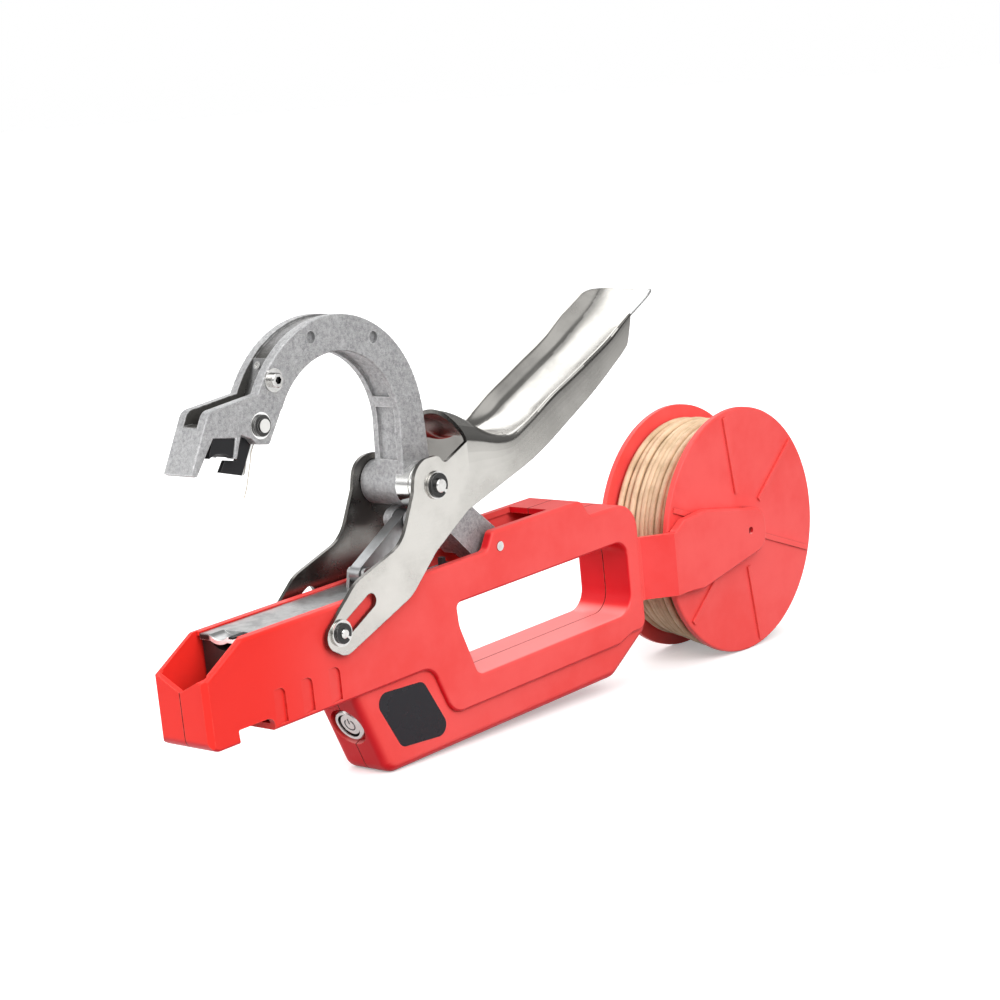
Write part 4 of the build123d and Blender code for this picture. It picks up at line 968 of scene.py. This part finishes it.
# a darker copy of plated steel: painted shade on the clip in the hook's channel
CLIP_STRIP = replace(
    STEEL, name="clip_strip", colour=(0.25, 0.25, 0.25), shade=(0.12, 0.12, 0.12), gloss=0.34,
)
BLACK = Finish(
    "black_oxide", (0.008, 0.008, 0.009), (0.024, 0.024, 0.026), (0.2, 0.2, 0.2),
    gloss=0.6, gloss_spread=0.2, grain_scale=1500.0, grain_height=0.00007, grain_tone=0.4,
    smudge_scale=140.0, smudge_tone=0.4, wear=0.4, wear_radius=0.0004,
    speckle_scale=1900.0, speckle_share=0.4, specular=0.22,
)
CLIP = Finish(
    "spring_clip", (0.022, 0.022, 0.022), (0.04, 0.04, 0.04), (0.5, 0.5, 0.49),
    metallic=0.6, gloss=0.3, gloss_spread=0.18, grain_scale=2200.0, grain_tone=0.3, smudge_scale=260.0,
    wear=0.6, wear_radius=0.00025,
)
JAW_PIN = PinFinish(
    "jaw_pin_head", (0.035, 0.034, 0.033), (0.07, 0.07, 0.07), (0.60, 0.60, 0.58),
    metallic=0.3, gloss=0.35, gloss_spread=0.16, grain_scale=1800.0, grain_tone=0.3, smudge_scale=200.0,
    wear=0.7, wear_radius=0.0005, specular=0.4,
)
GUIDE = Finish(
    "dark_guide_block", (0.040, 0.026, 0.025), (0.012, 0.009, 0.009), (0.15, 0.11, 0.10),
    gloss=0.4, gloss_spread=0.2, grain_scale=1100.0, grain_height=0.00006, grain_tone=0.6,
    smudge_scale=120.0, smudge_tone=0.4, wear=0.5, speckle_scale=1500.0, speckle_share=0.45,
)
FILM = Finish(
    "blank_black_film", (0.007, 0.007, 0.011), (0.014, 0.014, 0.019), (0.05, 0.05, 0.055),
    gloss=0.3, gloss_spread=0.12, grain_scale=2600.0, grain_height=0.000006, grain_tone=0.25,
    smudge_scale=55.0, smudge_tone=0.5, wear=0.6, wear_radius=0.0004, specular=0.2,
)
WIRE = Finish(
    "tan_tie_wire", (0.84, 0.63, 0.42), (0.50, 0.34, 0.19), (0.90, 0.74, 0.55),
    gloss=0.5, gloss_spread=0.16, grain_scale=2600.0, grain_height=0.00003, grain_tone=0.3,
    smudge_scale=110.0, smudge_tone=0.55, wear=0.15, wear_radius=0.0003,
)
STRAND = replace(WIRE, name="pale_wire_end", colour=(0.70, 0.64, 0.56), shade=(0.52, 0.46, 0.38))
BRIGHT = replace(
    STEEL, name="polished_steel", colour=(0.86, 0.86, 0.85), shade=(0.68, 0.68, 0.67),
    gloss=0.16, gloss_spread=0.1,
)
JAW_STRIP = replace(BRIGHT, name="jaw_strip", colour=(0.72, 0.72, 0.71), shade=(0.5, 0.5, 0.49))
DARK = Finish(
    "dark_plastic", (0.022, 0.022, 0.024), (0.04, 0.04, 0.042), (0.12, 0.12, 0.12),
    gloss=0.45, grain_scale=2600.0, grain_tone=0.35, smudge_scale=80.0, smudge_tone=0.4, wear=0.4,
)
BOARD = Finish(
    "green_board", (0.012, 0.11, 0.045), (0.006, 0.06, 0.026), (0.35, 0.30, 0.12),
    gloss=0.3, grain_scale=1500.0, grain_tone=0.3, smudge_scale=300.0, smudge_tone=0.5, wear=0.6,
)
CELL = Finish(
    "cell_sleeve", (0.035, 0.10, 0.30), (0.02, 0.06, 0.2), (0.30, 0.36, 0.5),
    gloss=0.28, grain_scale=2200.0, grain_tone=0.2, smudge_scale=70.0, smudge_tone=0.4, wear=0.4, coat=0.2,
)
BRONZE = Finish(
    "sintered_bronze", (0.52, 0.34, 0.13), (0.34, 0.21, 0.08), (0.75, 0.58, 0.3),
    metallic=1.0, gloss=0.36, grain_scale=1800.0, grain_tone=0.4, smudge_scale=150.0, wear=0.5,
)

NODE_FINISH: dict[Finish, tuple[str, ...]] = {
    RED: ("near_shell", "far_shell"),
    SPOOL_RED: ("spool_near_flange", "spool_far_flange", "spool_hub"),
    CAST: ("hook_casting",),
    SHEET: ("squeeze_lever",),
    PLATE: ("feed_plate",),
    HOOK_SCREW: ("hook_screw",),
    CLIP_STRIP: ("wire_clip",),
    LINK: ("drive_link", "link_front_pin", "link_rear_pin"),
    STEEL: (
        "slot_pin", "slot_washers", "lever_pin", "lever_washers", "pivot_pin", "hook_washer",
        "clip_screw", "twister_head", "twister_shaft", "shaft_coupling",
        "spool_axle", "button_nut", "gear_motor", "motor_gearbox", "return_spring",
    ),
    TURNED: ("lever_bush",),
    BUTTON: ("button_bezel", "button_cap"),
    BRIGHT: ("jaw_washer",),
    JAW_STRIP: ("jaw_backing",),
    BLACK: ("fixed_jaw", "moving_jaw", "shell_screws", "cutter_blade"),
    CLIP: ("slot_clips", "lever_clips"),
    JAW_PIN: ("jaw_pin",),
    GUIDE: ("guide_block",),
    FILM: ("label_plate",),
    WIRE: ("wire_core", "wire_winding"),
    STRAND: ("tie_wire_end",),
    DARK: ("button_switch", "micro_switch", "switch_plunger", "charge_socket", "friction_washers"),
    BOARD: ("circuit_board",),
    CELL: ("battery_cells",),
    BRONZE: ("shaft_bearing",),
}


class Workshop:
    """Keeps the frame and the materials, and turns shapes into pieces."""

    def __init__(self, frame: dict[str, Any]) -> None:
        """Keep the loaded frame and make every finish.
        """
        self.nodes = frame["nodes"]
        self.tool = ToolFrame.from_joints(frame["joints"])
        self.effects = Effects()
        self.materials = {finish: finish.material(self.effects) for finish in NODE_FINISH}

    def dress_nodes(self) -> None:
        """Give every CAD node its finish."""
        for finish, names in NODE_FINISH.items():
            for name in names:
                slots = self.nodes[name].data.materials
                slots.clear()
                slots.append(self.materials[finish])
        LOG.info("dressed %d CAD nodes", sum(len(names) for names in NODE_FINISH.values()))

    def piece(
        self, name: str, shape: Shape, finish: Finish, body: str, slot: str, crease: float = 35.0
    ) -> bpy.types.Object:
        """Make a piece of the tool and let it ride on a body.

        Args:
            name: the piece's name.
            shape: points in the tool's axes, and faces.
            finish: its finish.
            body: the CAD body it rides on.
            slot: not used.
            crease: degrees beyond which an edge stays sharp.

        Returns:
            The new object.
        """
        points, faces = shape
        piece = mesh_object(name, (self.tool.place(points), faces), self.materials[finish])
        piece.data.shade_smooth()
        piece.data.set_sharp_from_angle(angle=math.radians(crease))
        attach(piece, body)
        LOG.info("%s: %d faces on %s", name, len(faces), body)
        return piece


@dataclass
class SqueezeLever:
    """One bent stainless sheet: two slotted legs, an arch behind the boss and a trough for the palm."""

    inner: float = 14.0
    outer: float = 15.5
    flare: float = 1.4
    flare_x: Pair = (150.0, 200.0)
    join_x: float = 133.0
    dense_x: float = 226.0
    close_x: float = 227.0
    close_power: float = 1.5
    flange_end: float = 231.0
    corner_x: float = 242.0
    tip_x: float = 251.0
    corner_r: float = 9.0
    bend: float = 1.8
    bend_fade: float = 12.0
    bend_least: float = 0.1
    bend_in: float = 1.3
    open_x: Pair = (158.0, 180.0)
    wall_from: float = 0.74
    wall_share: float = 0.643
    soften: float = 0.6
    slot_low: Pair = (60.32, 66.24)
    slot_high: Pair = (76.34, 74.38)
    slot_r: float = 2.7
    pin: Pair = (114.8, 106.7)
    pin_r: float = 2.55
    rim_y: float = -8.0
    far_y: float = 6.0
    near_y: float = -12.0

    STATIONS = (133, 141, 150, 158, 166, 172, 182, 192, 203, 213, 224, 236, 251)
    EDGE = (120.4, 118.4, 116.0, 115.7, 118.9, 121.8, 126.8, 130.9, 135.5, 139.7, 144.9, 150.4, 157.6)
    MIDDLE = (129.0, 126.0, 119.5, 115.2, 114.4, 115.8, 119.8, 123.9, 128.5, 132.8, 138.2, 144.4, 154.0)
    STEEPNESS = ((133, 150, 160, 175, 251), (2.0, 2.0, 2.4, 3.7, 3.7))
    LOW = ((133, 150, 170, 190, 214.4, 228, 230.5), (95.06, 99.9, 106.3, 115.9, 128.9, 137.7, 139.8))
    LEG_TOP = (
        (50.5, 65.5, 5), (70.5, 82.4, 14), (95.0, 90.0, 14), (103.0, 106.0, 10), (105.6, 117.0, 8.5),
        (117.6, 116.9, 4), (120.4, 113.2, 2.5),
    )
    LEG_LOW = ((130.0, 94.2, 6), (111.5, 83.5, 10), (97.0, 71.0, 16), (62.0, 58.4, 6))
    HOLE_STEPS = 36
    SLOT_STEPS = 18
    STEPS_ALONG = (64, 16, 6, 18)
    STEPS_ACROSS = (7, 9, 25)
    # tones of the sheet's painted shade, and below nought its painted highlight
    NEAR_TONE = ((145.0, 180.0), (0.0, 0.42))
    FAR_TONE = ((133.0, 173.0), (0.8, 0.6))
    SIDEWAYS = 0.5
    ENDWAYS = 0.7
    SLANTED = 0.3
    TOP_TONE = 0.45
    TOP_DEPTH = 6.0
    CUT_TONE = 0.9
    END_TONE = 1.0
    POLISHED = -1.0
    LEG_TONE = 0.5
    UNDER_TONE = 0.35

    def leg(self) -> list[np.ndarray]:
        """Outline of a leg up to the arch, with its slot and the hole for the lever pin.

        Returns:
            The outline, the slot and the hole, as x and z.
        """
        top = self.EDGE[0] - self.bend
        low = self.LOW[1][0]
        join = ((self.join_x, top, 0), (self.join_x, low, 0))
        outline = rounded_outline([*self.LEG_TOP, *join, *self.LEG_LOW])
        return [outline, self.slot(), unit_circle(self.HOLE_STEPS) * self.pin_r + self.pin]

    def slot(self) -> np.ndarray:
        """Long hole: two half circles joined by straight sides.

        Returns:
            Points of its edge, as x and z.
        """
        low, high = np.array(self.slot_low), np.array(self.slot_high)
        along = unit(high - low)
        aside = np.array([-along[1], along[0]])
        angle = np.linspace(-np.pi / 2, np.pi / 2, self.SLOT_STEPS)
        cap = np.cos(angle)[:, None] * along + np.sin(angle)[:, None] * aside
        return np.concatenate([high + cap * self.slot_r, low - cap * self.slot_r])

    def trough(self) -> Shape:
        """Arch and trough: a sheet profile carried along X.

        At each X the middle line of the sheet runs up the flange, rounds over at the top by a curve of
        second order, and goes to the middle: over the arch as a power of its distance from there, in the
        trough down a straight wall and over a floor that rises with the square of that distance. Half the
        thickness to either side of the line gives the two skins.

        Returns:
            Points and faces of the closed sheet.
        """
        stops = (self.join_x, self.dense_x, self.flange_end, self.corner_x)
        *counts, corner = self.STEPS_ALONG
        straight = [np.linspace(*ends) for ends in zip(stops[:-1], stops[1:], counts)]
        rounding = self.corner_r * (1 - np.sin(np.linspace(0, np.pi / 2, corner)))
        x = np.unique(np.concatenate([*straight, self.tip_x - rounding]))
        edge = smooth_curve(self.STATIONS, self.EDGE, x)
        middle = smooth_curve(self.STATIONS, self.MIDDLE, x)
        full = (self.inner + self.outer) / 2 + smooth_curve(self.flare_x, (0.0, self.flare), x)
        inset = np.sqrt(np.maximum(self.corner_r**2 - np.maximum(x - self.corner_x, 0) ** 2, 0))
        width = full - self.corner_r + inset
        bend = self.bend * np.clip((self.flange_end - x) / self.bend_fade, self.bend_least, 1.0)
        power = smooth_curve(*self.STEEPNESS, x)
        low = smooth_curve(*self.LOW, x)
        close = np.interp(x, (self.close_x, self.flange_end), (0.0, 1.0)) ** self.close_power
        open_up = smooth_curve(self.open_x, (0.0, 1.0), x)
        rows = (bend, low, edge, middle, width, power, full, close, open_up)
        bend, low, edge, middle, width, power, full, close, open_up = (row[:, None] for row in rows)
        up, round_over, across = (np.linspace(0, 1, steps)[None] for steps in self.STEPS_ACROSS)

        def dip(y: np.ndarray) -> np.ndarray:
            """Height of the arch, or of the trough's floor and walls, between the edges.

            Args:
                y: distances from the middle.

            Returns:
                Heights there.
            """
            part = np.abs(y / full)
            height = edge - middle
            floor = middle + height * (1 - self.wall_share) * (part / self.wall_from) ** 2
            wall = edge - height * self.wall_share / (1 - self.wall_from) * (1 - part)
            trough = (floor + wall + np.hypot(floor - wall, self.soften)) / 2
            return (middle + height * part**power) * (1 - open_up) + trough * open_up

        rim = dip(width)
        top = rim - bend
        low = np.minimum(low + (top - low) * close, top)
        inner_y = width - bend * self.bend_in
        flange = np.stack([width + 0 * up, low + (top - low) * up], axis=-1)
        curve_y = width * (1 - round_over**2) + inner_y * round_over**2
        curve_z = (
            top * (1 - round_over) ** 2 + 2 * rim * round_over * (1 - round_over)
            + dip(inner_y) * round_over**2
        )
        curve = np.stack([curve_y, curve_z], axis=-1)
        floor_y = inner_y * (1 - across)
        floor = np.stack([floor_y, dip(floor_y)], axis=-1)
        far = np.concatenate([flange[:, :-1], curve[:, :-1], floor], axis=1)
        near = far[:, -2::-1] * np.array([-1.0, 1.0])
        line = np.concatenate([far, near], axis=1)
        along = unit(np.gradient(line, axis=1))
        normal = np.stack([along[..., 1], -along[..., 0]], axis=-1) * (self.outer - self.inner) / 2
        ring = np.concatenate([line + normal, (line - normal)[:, ::-1]], axis=1)
        count = ring.shape[1]
        points = np.concatenate([np.broadcast_to(x[:, None, None], (*ring.shape[:2], 1)), ring], axis=-1)
        faces = grid_faces(len(x), count, wrap=True)
        index = np.arange(count // 2 - 1)
        cap = np.stack([index, count - 1 - index, count - 2 - index, index + 1], axis=-1)
        ends = [cap.tolist(), (cap[:, ::-1] + (len(x) - 1) * count).tolist()]
        return points.reshape(-1, 3), faces.tolist() + ends[0] + ends[1]

    def dullness(self, places: np.ndarray, normals: np.ndarray) -> np.ndarray:
        """Painted shade and painted highlight of the sheet, from each face's place and direction.

        Cut edges get painted shade. So does the far leg's inner side, fading along the far wall of the
        trough.
        The near flange gets more painted shade towards its top, and the underside gets half of it. The rim
        beyond the flange gets a painted highlight.

        Args:
            places: middles of the faces in the tool's axes.
            normals: their directions there.

        Returns:
            A tone between -1 and 1 for each face.
        """
        x, y, z = places.T
        nx, ny, nz = normals.T
        to_top = np.maximum(smooth_curve(self.STATIONS, self.EDGE, x) - z, 0.0)
        near_tone = np.interp(x, *self.NEAR_TONE) + self.TOP_TONE * np.exp(-to_top / self.TOP_DEPTH)
        leg = x < self.join_x
        tones = (
            (leg & (np.abs(ny) < self.SIDEWAYS), self.CUT_TONE),
            (~leg & (nx < -self.ENDWAYS), self.END_TONE),
            ((x > self.flange_end) & (y < self.rim_y), self.POLISHED),
            ((y > self.far_y) & (ny < -self.SLANTED), np.interp(x, *self.FAR_TONE)),
            (leg & (y < 0.0) & (ny > 0.0), self.LEG_TONE),
            (~leg & (y < self.near_y) & (ny < -self.SIDEWAYS), near_tone),
            (~leg & (nz < -self.SLANTED), self.UNDER_TONE),
        )
        return np.select(*zip(*tones), 0.0)

    def build(self, shop: Workshop) -> bpy.types.Object:
        """Make the whole lever in place of its CAD node.

        Args:
            shop: keeper of the frame and the materials.

        Returns:
            The new piece.
        """
        rings = self.leg()
        legs = [plate(rings, -self.outer, -self.inner), plate(rings, self.inner, self.outer)]
        piece = shop.piece("lever_sheet", joined([*legs, self.trough()]), SHEET, "lever", "steel")
        faces = piece.data.polygons
        places, normals = np.empty((2, len(faces), 3))
        faces.foreach_get("center", places.ravel())
        faces.foreach_get("normal", normals.ravel())
        # the tone attribute carries the sheet's painted shade and painted highlight
        tone = self.dullness(shop.tool.drawn(places), shop.tool.back(normals))
        piece.data.attributes.new("tone", "FLOAT", "FACE").data.foreach_set("value", tone)
        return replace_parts(piece, "squeeze_lever")


@dataclass
class WireSpool:
    """Tie wire on the spool: one unbroken run in two layers over a plain core."""

    centre: Pair = ToolFrame.SPOOL
    half: float = 14.0
    near_gap: float = 1.3
    wire_r: float = 1.25
    low_r: float = 40.4
    turns: int = 9
    core_r: float = 40.2
    hub_r: float = 14.1
    play: float = 0.15
    climb: float = 0.5
    layer: float = 1.45
    sideways: float = 1.9
    outwards: float = 0.9
    loose: float = 3.9
    loose_turn: float = 0.35
    loose_y: Pair = (-9.0, 11.0)
    core_over: float = 0.5

    STEPS = 88
    RING = 8
    CORE_STEPS = 120
    SIDE_WAVES = (5, 0.12, 0.45)
    OUT_WAVES = (7, 0.2, 1.6)

    def run(self) -> np.ndarray:
        """Middle line of the wire: even turns one way, then uneven turns back on top of them.

        The angle grows evenly. Y goes across by one step a turn and back again, with a slow wave on the
        way back. The radius rises to the second layer, wanders a little, and sags where turns are loose.

        Returns:
            Points of the line in order.
        """
        total = 2 * self.turns - 1
        turn = np.linspace(0, total, total * self.STEPS + 1)
        reach = self.half - self.wire_r - self.play
        across = np.where(turn < self.turns, turn / self.turns, 2 - turn / self.turns)
        y = self.near_gap - reach + (2 * reach - self.near_gap) * across
        upper = np.interp(turn, (self.turns - self.climb, self.turns), (0.0, 1.0))
        y = y + upper * waves(turn, *self.SIDE_WAVES, SEED) * self.sideways
        y = np.clip(y, self.near_gap - reach, reach)
        angle = 2 * np.pi * turn
        wander = waves(turn, *self.OUT_WAVES, SEED + 1) * self.outwards
        below = np.maximum(-np.sin(angle + self.loose_turn), 0) ** 2
        sag = below * np.interp(y, self.loose_y, (1.0, 0.0))
        radius = self.low_r + self.wire_r + upper * (self.wire_r * self.layer + wander + sag * self.loose)
        x = self.centre[0] + radius * np.cos(angle)
        z = self.centre[1] + radius * np.sin(angle)
        return np.stack([x, y, z], axis=-1)

    def core(self) -> Shape:
        """Plain ring of the inner layers.

        Returns:
            Points and faces.
        """
        half = self.half + self.core_over
        hub, rim = self.hub_r, self.core_r
        profile = np.array([(hub, -half), (rim, -half), (rim, half), (hub, half)])
        return lathe(profile, self.centre, self.CORE_STEPS)

    def build(self, shop: Workshop) -> bpy.types.Object:
        """Make the wound wire in place of its CAD core and winding.

        Args:
            shop: keeper of the frame and the materials.

        Returns:
            The new piece.
        """
        strand = tube(self.run(), self.wire_r, ACROSS, self.RING)
        piece = shop.piece("wound_wire", joined([self.core(), strand]), WIRE, "spool", "wire", ROUND_CREASE)
        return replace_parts(piece, "wire_core", "wire_winding")


@dataclass
class LooseEnd:
    """Thin end of tie wire that hangs from the hook's near cheek."""

    y: float = -3.5
    radius: float = 0.2

    LINE_X = (42.8, 40.8, 39.6, 38.3, 37.0, 35.3)
    LINE_Z = (136.4, 133.1, 129.4, 125.8, 122.2, 118.9)
    STEPS = 40
    RING = 10

    def build(self, shop: Workshop) -> bpy.types.Object:
        """Round tube along a smooth curve through the seen places of the wire.

        Args:
            shop: keeper of the frame and the materials.

        Returns:
            The new piece.
        """
        knots = np.arange(len(self.LINE_X))
        at = np.linspace(0, knots[-1], self.STEPS)
        x, z = smooth_curve(knots, self.LINE_X, at), smooth_curve(knots, self.LINE_Z, at)
        path = np.stack([x, np.full(len(at), self.y), z], axis=-1)
        shape = tube(path, self.radius, ACROSS, self.RING)
        piece = shop.piece("loose_wire_end", shape, STRAND, "hook", "wire", ROUND_CREASE)
        anchor = shop.tool.place(path[0])
        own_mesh(piece)
        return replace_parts(piece, "tie_wire_end")


@dataclass
class ReturnSpring:
    """Torsion spring beside the hook's pivot."""

    centre: Pair = ToolFrame.HOOK_PIVOT
    start_y: float = 1.52
    coil_r: float = 5.0
    wire_r: float = 0.5
    pitch: float = 1.72
    turns: float = 2.0
    bend: float = 1.1
    corner: Pair = (0.3, 0.7)

    STEPS = 150
    RING = 12

    def build(self, shop: Workshop) -> bpy.types.Object:
        """Helix with a short straight tang along the axis at each end.

        Args:
            shop: keeper of the frame and the materials.

        Returns:
            The new piece.
        """
        t = np.linspace(0, 1, self.STEPS)
        angle = 2 * np.pi * self.turns * t
        lead = 2 * self.wire_r + self.bend
        helix = np.stack([
            self.centre[0] + self.coil_r * np.cos(angle),
            self.start_y + lead + self.pitch * self.turns * t,
            self.centre[1] + self.coil_r * np.sin(angle),
        ], axis=-1)
        near, low = np.array(self.corner) * self.bend
        tang = np.array([(0.0, lead, self.bend), (0.0, self.bend, self.bend), (0.0, near, low)])
        path = np.concatenate([helix[0] - tang, helix, helix[-1] + tang[::-1]])
        middle = np.array([self.centre[0], 0.0, self.centre[1]])
        side = (path - middle) * np.array([1.0, 0.0, 1.0])
        shape = tube(path, self.wire_r, side, self.RING)
        piece = shop.piece("pivot_spring", shape, STEEL, "body", "zinc", ROUND_CREASE)
        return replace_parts(piece, "return_spring")


@dataclass
class PowerSign:
    """Plain power sign on the button's cap: an open ring and a bar."""

    place: Pair = (73.7, 28.2)
    lean: float = 0.41
    depth: float = 1.1
    ring_r: float = 2.2
    line: float = 0.5
    proud: float = 0.06
    sunk: float = 0.05
    gap: float = 0.55
    bar: Pair = (0.3, 2.7)

    RING_STEPS = 60
    BAR_STEPS = 8

    def build(self, shop: Workshop) -> bpy.types.Object:
        """Two curved strips set on the cap, each a closed box profile carried along its line.

        Args:
            shop: keeper of the frame and the materials.

        Returns:
            The new piece.
        """
        out = unit(np.array([-1.0, 0.0, -self.lean]))
        up = unit(np.array([-self.lean, 0.0, 1.0]))
        middle = np.array([self.place[0], 0.0, self.place[1]]) - out * self.depth
        angle = np.linspace(np.pi / 2 + self.gap, np.pi * 2.5 - self.gap, self.RING_STEPS)
        ring = np.stack([np.cos(angle), np.sin(angle)], axis=-1)
        bar = np.stack([np.zeros(self.BAR_STEPS), np.linspace(*self.bar, self.BAR_STEPS)], axis=-1)
        flat, faces = joined([self.strip(ring * self.ring_r, ring), self.strip(bar, np.array([[1.0, 0.0]]))])
        points = middle + flat @ np.stack([-ACROSS, up, out])
        return shop.piece("power_sign", (points, faces), DARK, "button", "bright")

    def strip(self, line: np.ndarray, aside: np.ndarray) -> Shape:
        """Box profile along a flat line: half the line's width to each side, a little proud of the cap.

        Args:
            line: points of the line.
            aside: direction across it, for each point or for all.

        Returns:
            Points, as right, up and out, and faces.
        """
        half = self.line / 2
        corners = [(-half, -self.sunk), (half, -self.sunk), (half, self.proud), (-half, self.proud)]
        rings = [np.concatenate([line + aside * a, np.full((len(line), 1), h)], axis=1) for a, h in corners]
        points = np.stack(rings, axis=1).reshape(-1, 3)
        last = (len(line) - 1) * 4
        caps = [[0, 1, 2, 3], [last + 3, last + 2, last + 1, last]]
        return points, grid_faces(len(line), 4, wrap=True)[:, ::-1].tolist() + caps


@dataclass
class Studio:
    """Pale floor, soft lights and a camera at the photograph's viewing angle."""

    azimuth: float = -48.183
    elevation: float = 11.615
    roll: float = -5.768
    distance: float = 913.0
    target: tuple[float, float, float] = (164.82, 0.0, 89.28)
    lens: float = 88.556
    sensor: float = 36.0
    clip: float = 0.01
    floor: float = 30.0
    floor_tone: float = 0.93
    floor_rough: float = 0.9
    bounce: float = 0.25
    mirrored: float = 0.9
    glow: float = 0.3
    top_power: float = 1.6
    top_angle: float = 75.0

    FLOOR_POINTS = 3
    SKY_UP = (-0.05, 0.75, 0.30, 0.58)
    SKY_ALONG = (-0.9, 0.6, 1.45, 0.6)
    MIDDLE = (0.0, 0.0, 0.08)
    TOP = (-0.35, -0.45, 1.0)
    PANELS = (
        ("front_panel", (-0.30, -1.25, 0.75), 0.9, 10.0),
        ("left_panel", (-1.1, 0.45, 0.55), 0.9, 5.5),
        ("rear_panel", (0.5, 0.9, 1.0), 1.2, 7.0),
    )

    def camera(self, tool: ToolFrame) -> None:
        """Set the camera behind its target along the viewing direction, with its roll.

        Args:
            tool: the tool's frame.
        """
        a, e, r = (math.radians(v) for v in (self.azimuth, self.elevation, self.roll))
        back = np.array([math.sin(a) * math.cos(e), -math.cos(a) * math.cos(e), math.sin(e)])
        right, up, back = level_axes(back)
        axes = np.stack([
            math.cos(r) * right + math.sin(r) * up, math.cos(r) * up - math.sin(r) * right, back,
        ])
        data = bpy.data.cameras.new("photo_camera")
        data.sensor_fit = "HORIZONTAL"
        data.sensor_width = self.sensor
        data.lens = self.lens
        data.clip_start = self.clip
        place = tool.place(np.array(self.target) + back * self.distance)
        bpy.context.scene.camera = aimed(data, tool.turn(axes), place)

    def ground(self) -> None:
        """Wide pale floor that sends less light up than the camera sees on it."""
        material = bpy.data.materials.new("pale_floor")
        material.use_nodes = True
        bsdf = material.node_tree.nodes["Principled BSDF"]
        shader = Shader(material.node_tree)
        rays = shader.add("ShaderNodeLightPath").outputs
        mirrored = shader.times(rays["Is Glossy Ray"], self.mirrored)
        pale = shader.math("MAXIMUM", rays["Is Camera Ray"], mirrored)
        shader.put(bsdf.inputs["Base Color"], shader.mix(pale, (self.bounce,) * 3, (self.floor_tone,) * 3))
        bsdf.inputs["Roughness"].default_value = self.floor_rough
        shader.put(bsdf.inputs["Emission Color"], shader.mix(pale, (0.0, 0.0, 0.0), (self.glow,) * 3))
        bsdf.inputs["Emission Strength"].default_value = 1.0
        side = np.linspace(-self.floor, self.floor, self.FLOOR_POINTS)
        x, y = np.meshgrid(side, side)
        points = np.stack([x, y, np.zeros_like(x)], axis=-1).reshape(-1, 3)
        faces = grid_faces(self.FLOOR_POINTS, self.FLOOR_POINTS).tolist()
        floor = mesh_object("floor", (points, faces), material)

    def lights(self) -> None:
        """White surroundings, brighter above and to the left, one wide soft light above and three panels."""
        scene = bpy.context.scene
        scene.view_settings.view_transform = "Standard"
        world = bpy.data.worlds.new("studio")
        world.use_nodes = True
        shader = Shader(world.node_tree)
        x, _, z = shader.split(shader.add("ShaderNodeTexCoord").outputs["Generated"])
        sky = shader.times(shader.span(z, *self.SKY_UP), shader.span(x, *self.SKY_ALONG))
        seen = shader.add("ShaderNodeLightPath").outputs["Is Camera Ray"]
        background = world.node_tree.nodes["Background"].inputs
        shader.put(background["Strength"], shader.math("MAXIMUM", sky, seen))
        background["Color"].default_value = (1.0, 1.0, 1.0, 1.0)
        scene.world = world
        above = bpy.data.lights.new("soft_top", "SUN")
        above.energy = self.top_power
        above.angle = math.radians(self.top_angle)
        self.hang(above, self.TOP)
        for name, place, size, power in self.PANELS:
            panel = bpy.data.lights.new(name, "AREA")
            panel.shape = "DISK"
            panel.size = size
            panel.energy = power
            self.hang(panel, place)

    def hang(self, data: bpy.types.Light, place: Sequence[float]) -> None:
        """Hang a light at a place, turned to the middle of the tool."""
        aimed(data, level_axes(unit(np.subtract(place, self.MIDDLE))), place)


def main() -> None:
    """Load the frame, dress it and add the pieces."""
    logging.basicConfig(level=logging.INFO, format="%(message)s")
    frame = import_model()
    shop = Workshop(frame)
    studio = Studio()
    studio.camera(shop.tool)
    studio.ground()
    studio.lights()
    shop.dress_nodes()
    for assembly in (SqueezeLever(), WireSpool(), LooseEnd(), ReturnSpring(), PowerSign()):
        assembly.build(shop)


if __name__ == "__main__":
    main()
